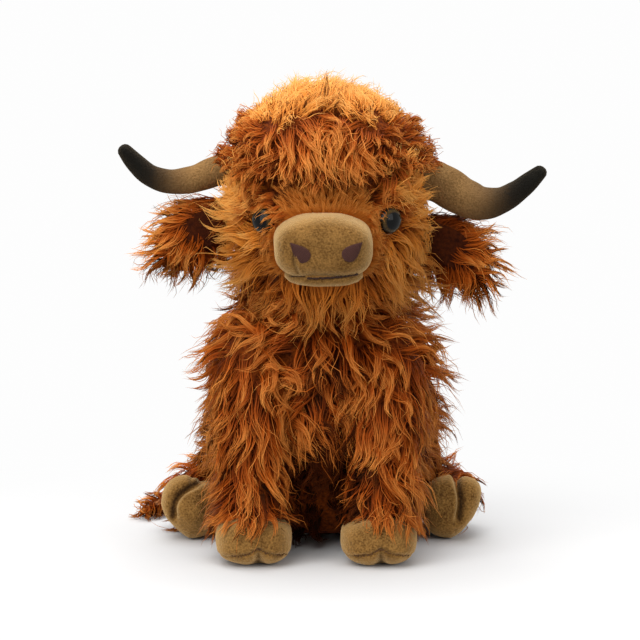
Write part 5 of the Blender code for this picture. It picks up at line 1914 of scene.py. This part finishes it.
@dataclass
class Eye:
    """A glossy domed eye with a thin pale rim."""

    side: Side
    radius: float = 0.0086
    dome: float = 0.0062

    def build(self) -> None:
        """Build the dome and the rim."""
        word, sign = self.side.word, self.side.value
        turn = math.radians(36.0) * sign
        place = np.array([0.004 + 0.0375 * sign, -0.0696, 0.2155])
        axis = np.array([math.sin(turn), -math.cos(turn), 0.0])
        right = np.array([math.cos(turn), math.sin(turn), 0.0])
        up = np.array([0.0, 0.0, 1.0])
        sides, rings = 64, 24
        tilt = math.pi / 2 * (np.arange(rings) + 1) / rings
        around = 2 * math.pi * np.arange(sides) / sides
        tilt, around = np.meshgrid(tilt[::-1], around, indexing="ij")
        rise = 0.0012 + self.dome * np.cos(tilt)
        wide = self.radius * np.sin(tilt)
        dome = (place + axis * rise.ravel()[:, None]
                + right * (wide * np.cos(around)).ravel()[:, None]
                + up * (wide * np.sin(around)).ravel()[:, None])
        back = place - axis * 0.0010
        top = place + axis * (0.0012 + self.dome)
        eye = make_piece("eye_dome_" + word, np.vstack([back, dome, top]),
                         closed_faces(rings, sides))
        iris = Iris("eye_" + word, place=tuple(place), turn=(math.pi / 2, 0.0, turn),
                    radius=self.radius)
        settle(eye, iris, "head", "eye_plastic", "eye_" + word, padded=False)
        rim = np.linspace(0, 2 * math.pi, 64, endpoint=False)
        tube = 2 * math.pi * np.arange(8) / 8
        rim, tube = np.meshgrid(rim, tube, indexing="ij")
        far = self.radius + 0.0001 + 0.00032 * np.cos(tube)
        lift = 0.0011 + 0.00034 * np.sin(tube)
        ring = (place + right * (far * np.cos(rim)).ravel()[:, None]
                + up * (far * np.sin(rim)).ravel()[:, None] + axis * lift.ravel()[:, None])
        here = np.arange(64)[:, None] * 8 + np.arange(8)[None]
        quads = np.stack([here, np.roll(here, -1, 0), np.roll(np.roll(here, -1, 0), -1, 1),
                          np.roll(here, -1, 1)], -1).reshape(-1, 4)
        band = make_piece("eye_rim_" + word, ring, [quads])
        settle(band, RIM, "head", "eye_plastic", padded=False)


@dataclass
class Head:
    """The head's fur bag, with the long forelock on its crown."""

    form: Loft = HEAD
    whorl: tuple[float, float, float] = (0.000, -0.044, 0.260)

    def build(self) -> None:
        """Build the backing and its fur."""
        ground = self.form.skin("head_ground", self.rise)
        settle(ground, SKIN_PAINTED_SHADE, "head", "fur", "head_skin", "forelock")
        pelt = Pelt(self.form, whorl=self.whorl, keep_out=[(BODY, 0.0)])
        horns = [(Horn(side).form(), 0.0006) for side in Side]
        crest = Pelt(self.form, whorl=self.whorl, keep_out=horns, inset=-0.0045)
        face = Pelt(self.form, whorl=(0.002, -0.092, 0.208), keep_out=[
            (BODY, 0.0), (Muzzle().box, 0.0008)])

        def top(p: Array) -> Array:
            """Whether a root is on the top, behind the part."""
            return (p[:, 2] > 0.271) & (p[:, 1] > -0.056)

        def crown(p: Array, n: Array) -> Array:
            """The top."""
            return top(p)

        def fringe(p: Array, n: Array) -> Array:
            """The upper forehead and the sides under the crown."""
            return (p[:, 2] > 0.243) & ~top(p)

        def cheeks(p: Array, n: Array) -> Array:
            """The sides and the chin under the crown, but not round the muzzle and eyes."""
            x = np.abs(p[:, 0] - 0.002)
            beside = (x < 0.033) & (p[:, 2] > 0.184)
            eyes = np.zeros(len(p), dtype=bool)
            for sign in (1.0, -1.0):
                eye = np.array([0.004 + 0.0375 * sign, -0.0696, 0.2150])
                eyes |= np.linalg.norm((p - eye) * (1.0, 0.7, 1.0), axis=-1) < 0.0105
            front = p[:, 1] < -0.045
            return (p[:, 2] <= 0.246) & (p[:, 1] < -0.02) & ~((beside | eyes) & front)

        def nape(p: Array, n: Array) -> Array:
            """The back of the head."""
            return (p[:, 2] <= 0.246) & (p[:, 1] >= -0.02)

        def sides(p: Array) -> Array:
            """Shorter fur at the horns' roots and over the middle of the face."""
            share = np.ones(len(p))
            for exit_place in ((0.062, -0.012, 0.236), (-0.054, -0.012, 0.244)):
                far = np.linalg.norm(p - np.array(exit_place), axis=-1)
                share = np.minimum(share, np.clip((far - 0.012) / 0.036, 0.25, 1.0))
            middle = (np.abs(p[:, 0] - 0.002) < 0.034) & (p[:, 1] < -0.04)
            drop = np.clip((p[:, 2] - 0.228) / 0.042, 0.30, 1.0)
            high = np.clip((p[:, 2] - 0.240) / 0.01, 0, 1)
            narrow = 1 - 0.66 * high * np.clip((np.abs(p[:, 0] - 0.001) - 0.020) / 0.020, 0, 1)
            return np.where(middle & (p[:, 2] > 0.236), share * drop, share) * narrow

        def round_eyes(p: Array) -> Array:
            """Shorter fur beside the eyes, and longer fur under the chin."""
            eye = np.array([0.004, -0.0696, 0.2150])
            far = np.linalg.norm(np.abs(p - eye) - (0.0375, 0.0, 0.0), axis=-1)
            near = bell(np.clip(far - 0.010, 0, 1), 0.010)
            low = np.clip((0.200 - p[:, 2]) / 0.02, 0, 1)
            return sides(p) * (1.0 - 0.45 * near) * (1 + 0.45 * low)

        def fade(p: Array) -> Array:
            """Painted shade: darker fur under the chin, as on the chest below it."""
            return -0.42 * np.clip((0.204 - p[:, 2]) / 0.022, 0, 1)

        def part(p: Array) -> Array:
            """Painted light and shade: lighter fur beside the crown, and darker fur low on the
            forehead.
            """
            beside = np.clip((np.abs(p[:, 0]) - 0.022) / 0.02, 0, 1)
            return np.clip((p[:, 2] - 0.260) / 0.012, -0.8 * (1 - beside), 1) * 0.28

        def tall(p: Array) -> Array:
            """Longer wisps in the middle of the crown."""
            return sides(p) * (1 + 0.42 * bell(p[:, 0] + 0.007, 0.015))

        def paler(p: Array) -> Array:
            """Painted light: paler fur from the part to the back of the crown."""
            return 0.12 + 0.42 * np.clip((p[:, 1] + 0.056) / 0.024, 0, 1)

        crest.grow("fur_crown", "head",
                   Coat(comb=Comb.WHORL, length=0.020, lift=0.50, fall=-0.02, swirl=0.9,
                        swirl_size=0.05, twist=0.24, frizz=0.0006, gather=0.70, tint=0.06,
                        loft=0.003, spacing=0.0060, strands=20, points=6, radius=0.00030,
                        stray=0.16, flick=0.0, wave=0.25, parting=0.026),
                   CROWN_FUR_PAINTED_LIGHT, crown, tall, 30, paler)
        crest.grow("fur_forelock", "head",
                   Coat(comb=Comb.WHORL, length=0.043, lift=0.38, fall=0.11, swirl=0.9,
                        swirl_size=0.045, tint=0.44, loft=0.006, spacing=0.0066, strands=20,
                        gather=0.92, spread=0.0068, parting=0.026,
                        flick=0.04, wave=0.38, wave_length=0.036), LONG_FUR, fringe, sides, 31,
                   part)
        face.grow("fur_cheeks", "head", Coat(comb=Comb.OUT, length=0.037, tint=0.90, fall=0.05,
                                             spacing=0.0066, strands=21, swirl=1.0, loft=0.006),
                  CHEEK_FUR_PAINTED_LIGHT, cheeks, round_eyes, seed=32, shade=fade)
        pelt.grow("fur_nape", "head", Coat(strands=15, points=6, radius=0.00040, lift=0.42,
                                           swirl=1.2), LONG_FUR,
                  nape, sides, seed=33)
        self.brows()
        self.short_pile()

    def brows(self) -> None:
        """Locks that fall over the upper and inner edge of each eye."""
        for side, low, inward in ((Side.LEFT, 0.0120, -0.002), (Side.RIGHT, 0.0165, 0.010)):
            eye = np.array([0.004 + 0.0375 * side.value, -0.0696, 0.2155])
            start = eye + (-inward * side.value - 0.010 * side.value, -0.016, 0.012)
            pelt = Pelt(self.form, whorl=tuple(start), keep_out=[(Muzzle().box, 0.0008)],
                        inset=0.001)

            def over(p: Array, n: Array, eye: Array = eye, side: Side = side) -> Array:
                """Round the eye, above it and towards the nose."""
                away = p - eye
                far = np.linalg.norm(away * (1.0, 0.5, 1.0), axis=-1)
                upper = (away[:, 2] > 0.002) | (away[:, 0] * side.value < -0.004)
                return (p[:, 1] < -0.03) & (far > 0.0085) & (far < 0.0165) & upper

            pelt.grow("fur_brow_" + side.word, "head",
                      Coat(comb=Comb.WHORL, length=low, lift=0.62, fall=0.06, swirl=0.4,
                           spacing=0.0036, strands=14, spread=0.0030, thick=0.0018, tint=0.62,
                           loft=0.002, wave=0.3, wave_length=0.02, stray=0.15, twist=0.3,
                           points=6), LONG_FUR, over, seed=36 + int(side.value))

    def rise(self, points: Array) -> Array:
        """How far the ground lies under the form: deep below, and raised under the crown."""
        share = np.clip((points[:, 2] - 0.240) / 0.022, 0, 1)
        return SKIN_INSET - 0.0095 * share**2 * (3 - 2 * share)

    def short_pile(self) -> None:
        """The band of short pile over the muzzle and down both its sides."""
        muzzle = Muzzle().box
        pelt = Pelt(self.form, whorl=(0.002, -0.11, 0.190), keep_out=[(muzzle, 0.0004)],
                    inset=0.0004)

        def band(p: Array, n: Array) -> Array:
            """Between the eyes, over the muzzle and beside it."""
            x = np.abs(p[:, 0] - 0.002)
            over = (x < 0.026) & (p[:, 2] > 0.196) & (p[:, 2] < 0.2345)
            beside = (x < 0.034) & (p[:, 2] > 0.184) & (p[:, 2] < 0.223)
            return (p[:, 1] < -0.04) & (over | beside)

        coat = Coat(comb=Comb.OUT, spacing=0.0021, strands=9, length=0.0090, spread=0.0016,
                    thick=0.0013, lift=0.55, fall=0.0, wave=0.10, swirl=0.15, gather=0.40,
                    frizz=0.0003, radius=0.00027, points=4, tint=0.42, stray=0.02, loft=0.0,
                    twist=0.15, flick=0.0)
        piece = pelt.grow("pile_bridge", "head", coat, SHORT_PILE, band, seed=34)
        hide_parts("nose_bridge")


@dataclass
class Neck:
    """The sleeve of fur between the head and the body."""

    form: Pod = Pod((0.0, -0.004, 0.166), (0.0416, 0.0416, 0.0416))

    def build(self) -> None:
        """Build the sleeve round the neck's filling, and its fur."""
        ground = self.form.skin("neck_ground", None, 48, 32)
        settle(ground, SKIN_PAINTED_SHADE, "neck", "fur", "neck_stuffing")

        def ring(p: Array, n: Array) -> Array:
            """The part that shows between head and body."""
            return (p[:, 2] > 0.150) & (p[:, 2] < 0.176) & (p[:, 1] < 0.02)

        Pelt(self.form, keep_out=[(BODY, -SKIN_INSET)], inset=0.0).grow(
            "fur_neck", "neck", Coat(length=0.028, lift=0.6, spacing=0.0072, strands=20,
                                     points=6), LONG_FUR, ring, seed=41)


@dataclass
class Filling:
    """The fibre, the pellet bag and the washers inside, which stay as they are modelled."""

    def build(self) -> None:
        """Dress the inner nodes."""
        for node in bpy.data.objects:
            if "stuffing" in node.name:
                FIBRE.dress(node)
            elif node.name == "seat_pellet_bag":
                BAG.dress(node)
            elif "washer" in node.name:
                WASHER.dress(node)


def shown(tree: Tree) -> Socket:
    """Whether a ray shows the background: from the camera, off gloss or through glass.

    Args:
        tree: the material's or world's tree.

    Returns:
        One where it does, and nothing elsewhere.
    """
    path = add(tree, "LightPath").outputs
    share = path["Is Camera Ray"]
    for kind in ("Is Glossy Ray", "Is Transmission Ray"):
        share = add(tree, "Math", {0: share, 1: path[kind]}, operation="MAXIMUM").outputs[0]
    return share


@dataclass
class Studio:
    """The floor, the lights and the camera."""

    def build(self) -> None:
        """Build the studio."""
        self.floor()
        self.lights()
        self.camera()

    def floor(self) -> None:
        """A wide pale floor that holds the shadow."""
        side = 40.0
        points = np.array([[-side, -side, 0], [side, -side, 0], [side, side, 0],
                           [-side, side, 0.0]])
        floor = make_piece("floor", points, [np.array([[0, 1, 2, 3]])])
        material, tree, shader = new_material("floor_paper")
        place = add(tree, "TexCoord").outputs["Object"]
        far = add(tree, "VectorMath", {0: place, 1: (-0.01, -0.09, 0.0)},
                  operation="DISTANCE").outputs["Value"]
        fade = add(tree, "MapRange", {"From Min": 0.12, "From Max": 0.36, "Value": far},
                   interpolation_type="SMOOTHSTEP").outputs["Result"]
        seen = add(tree, "Math", {0: fade, 1: shown(tree)}, operation="MULTIPLY").outputs[0]
        paper = ramp(tree, fade, ((0.0, (0.68, 0.68, 0.68)), (1.0, BLACK)))
        glow = ramp(tree, seen, ((0.0, BLACK), (1.0, (0.985, 0.985, 0.985))))
        fill(tree, shader, {"Base Color": paper, "Emission Color": glow,
                            "Emission Strength": 1.0, "Specular IOR Level": 0.0,
                            "Roughness": 0.9})
        floor.data.materials.append(material)

    def lights(self) -> None:
        """Large soft lights above, in front and behind, and an even world."""
        def area(name: str, place: tuple[float, ...], size: float, power: float) -> None:
            """One square lamp aimed at the cow."""
            lamp = bpy.data.lights.new(name, "AREA")
            lamp.shape, lamp.size, lamp.energy = "SQUARE", size, power
            thing = bpy.data.objects.new(name, lamp)
            thing.location = place
            way = np.array(CAMERA_TARGET) - np.array(place)
            thing.rotation_euler = (
                math.atan2(math.hypot(way[0], way[1]), -way[2]), 0.0,
                math.atan2(way[1], way[0]) - math.pi / 2)
            bpy.context.scene.collection.objects.link(thing)

        area("key", (-0.8, -1.3, 1.75), 1.8, 34.0)
        area("fill", (1.3, -1.5, 0.9), 1.4, 16.0)
        area("low fill", (-1.4, -1.4, 0.55), 1.0, 12.0)
        area("top", (0.0, 0.35, 2.1), 1.8, 42.0)
        world = bpy.data.worlds.new("studio")
        world.use_nodes = True
        tree = world.node_tree
        strength = add(tree, "MapRange", {"To Min": 0.30, "To Max": 0.985, "Value": shown(tree)})
        fill(tree, tree.nodes["Background"], {"Strength": strength.outputs["Result"],
                                              "Color": (1.0, 1.0, 1.0, 1.0)})
        bpy.context.scene.world = world

    def camera(self) -> None:
        """A long lens in front of the cow, a little above it."""
        camera = bpy.data.cameras.new("camera")
        camera.sensor_width = SENSOR_WIDTH
        camera.lens = SENSOR_WIDTH * CAMERA_DISTANCE / (IMAGE_SIDE * PIXEL_SIZE)
        camera.clip_end = 20.0
        thing = bpy.data.objects.new("camera", camera)
        back = CAMERA_DISTANCE * math.cos(CAMERA_ELEVATION)
        rise = CAMERA_DISTANCE * math.sin(CAMERA_ELEVATION)
        thing.location = (CAMERA_TARGET[0], CAMERA_TARGET[1] - back, CAMERA_TARGET[2] + rise)
        thing.rotation_euler = (math.pi / 2 - CAMERA_ELEVATION, 0.0, 0.0)
        bpy.context.scene.collection.objects.link(thing)
        bpy.context.scene.camera = thing
        bpy.context.scene.view_settings.view_transform = "Standard"


def main() -> None:
    """Build the cow's looks and the studio."""
    logging.basicConfig(level=logging.INFO, format="%(message)s")
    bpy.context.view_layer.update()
    legs = [(foreleg_form(side), -LEG_INSET) for side in Side]
    legs += [(hind_form(side), -LEG_INSET) for side in Side]
    Studio().build()
    Torso(keep_out=legs).build()
    for side in Side:
        Foreleg(side).build()
        HindLeg(side).build()
        Hooves(side).build()
        Horn(side).build()
        Ear(side).build()
        Eye(side).build()
    Head().build()
    Neck().build()
    Muzzle().build()
    Tail().build()
    Filling().build()


if __name__ == "__main__":
    main()
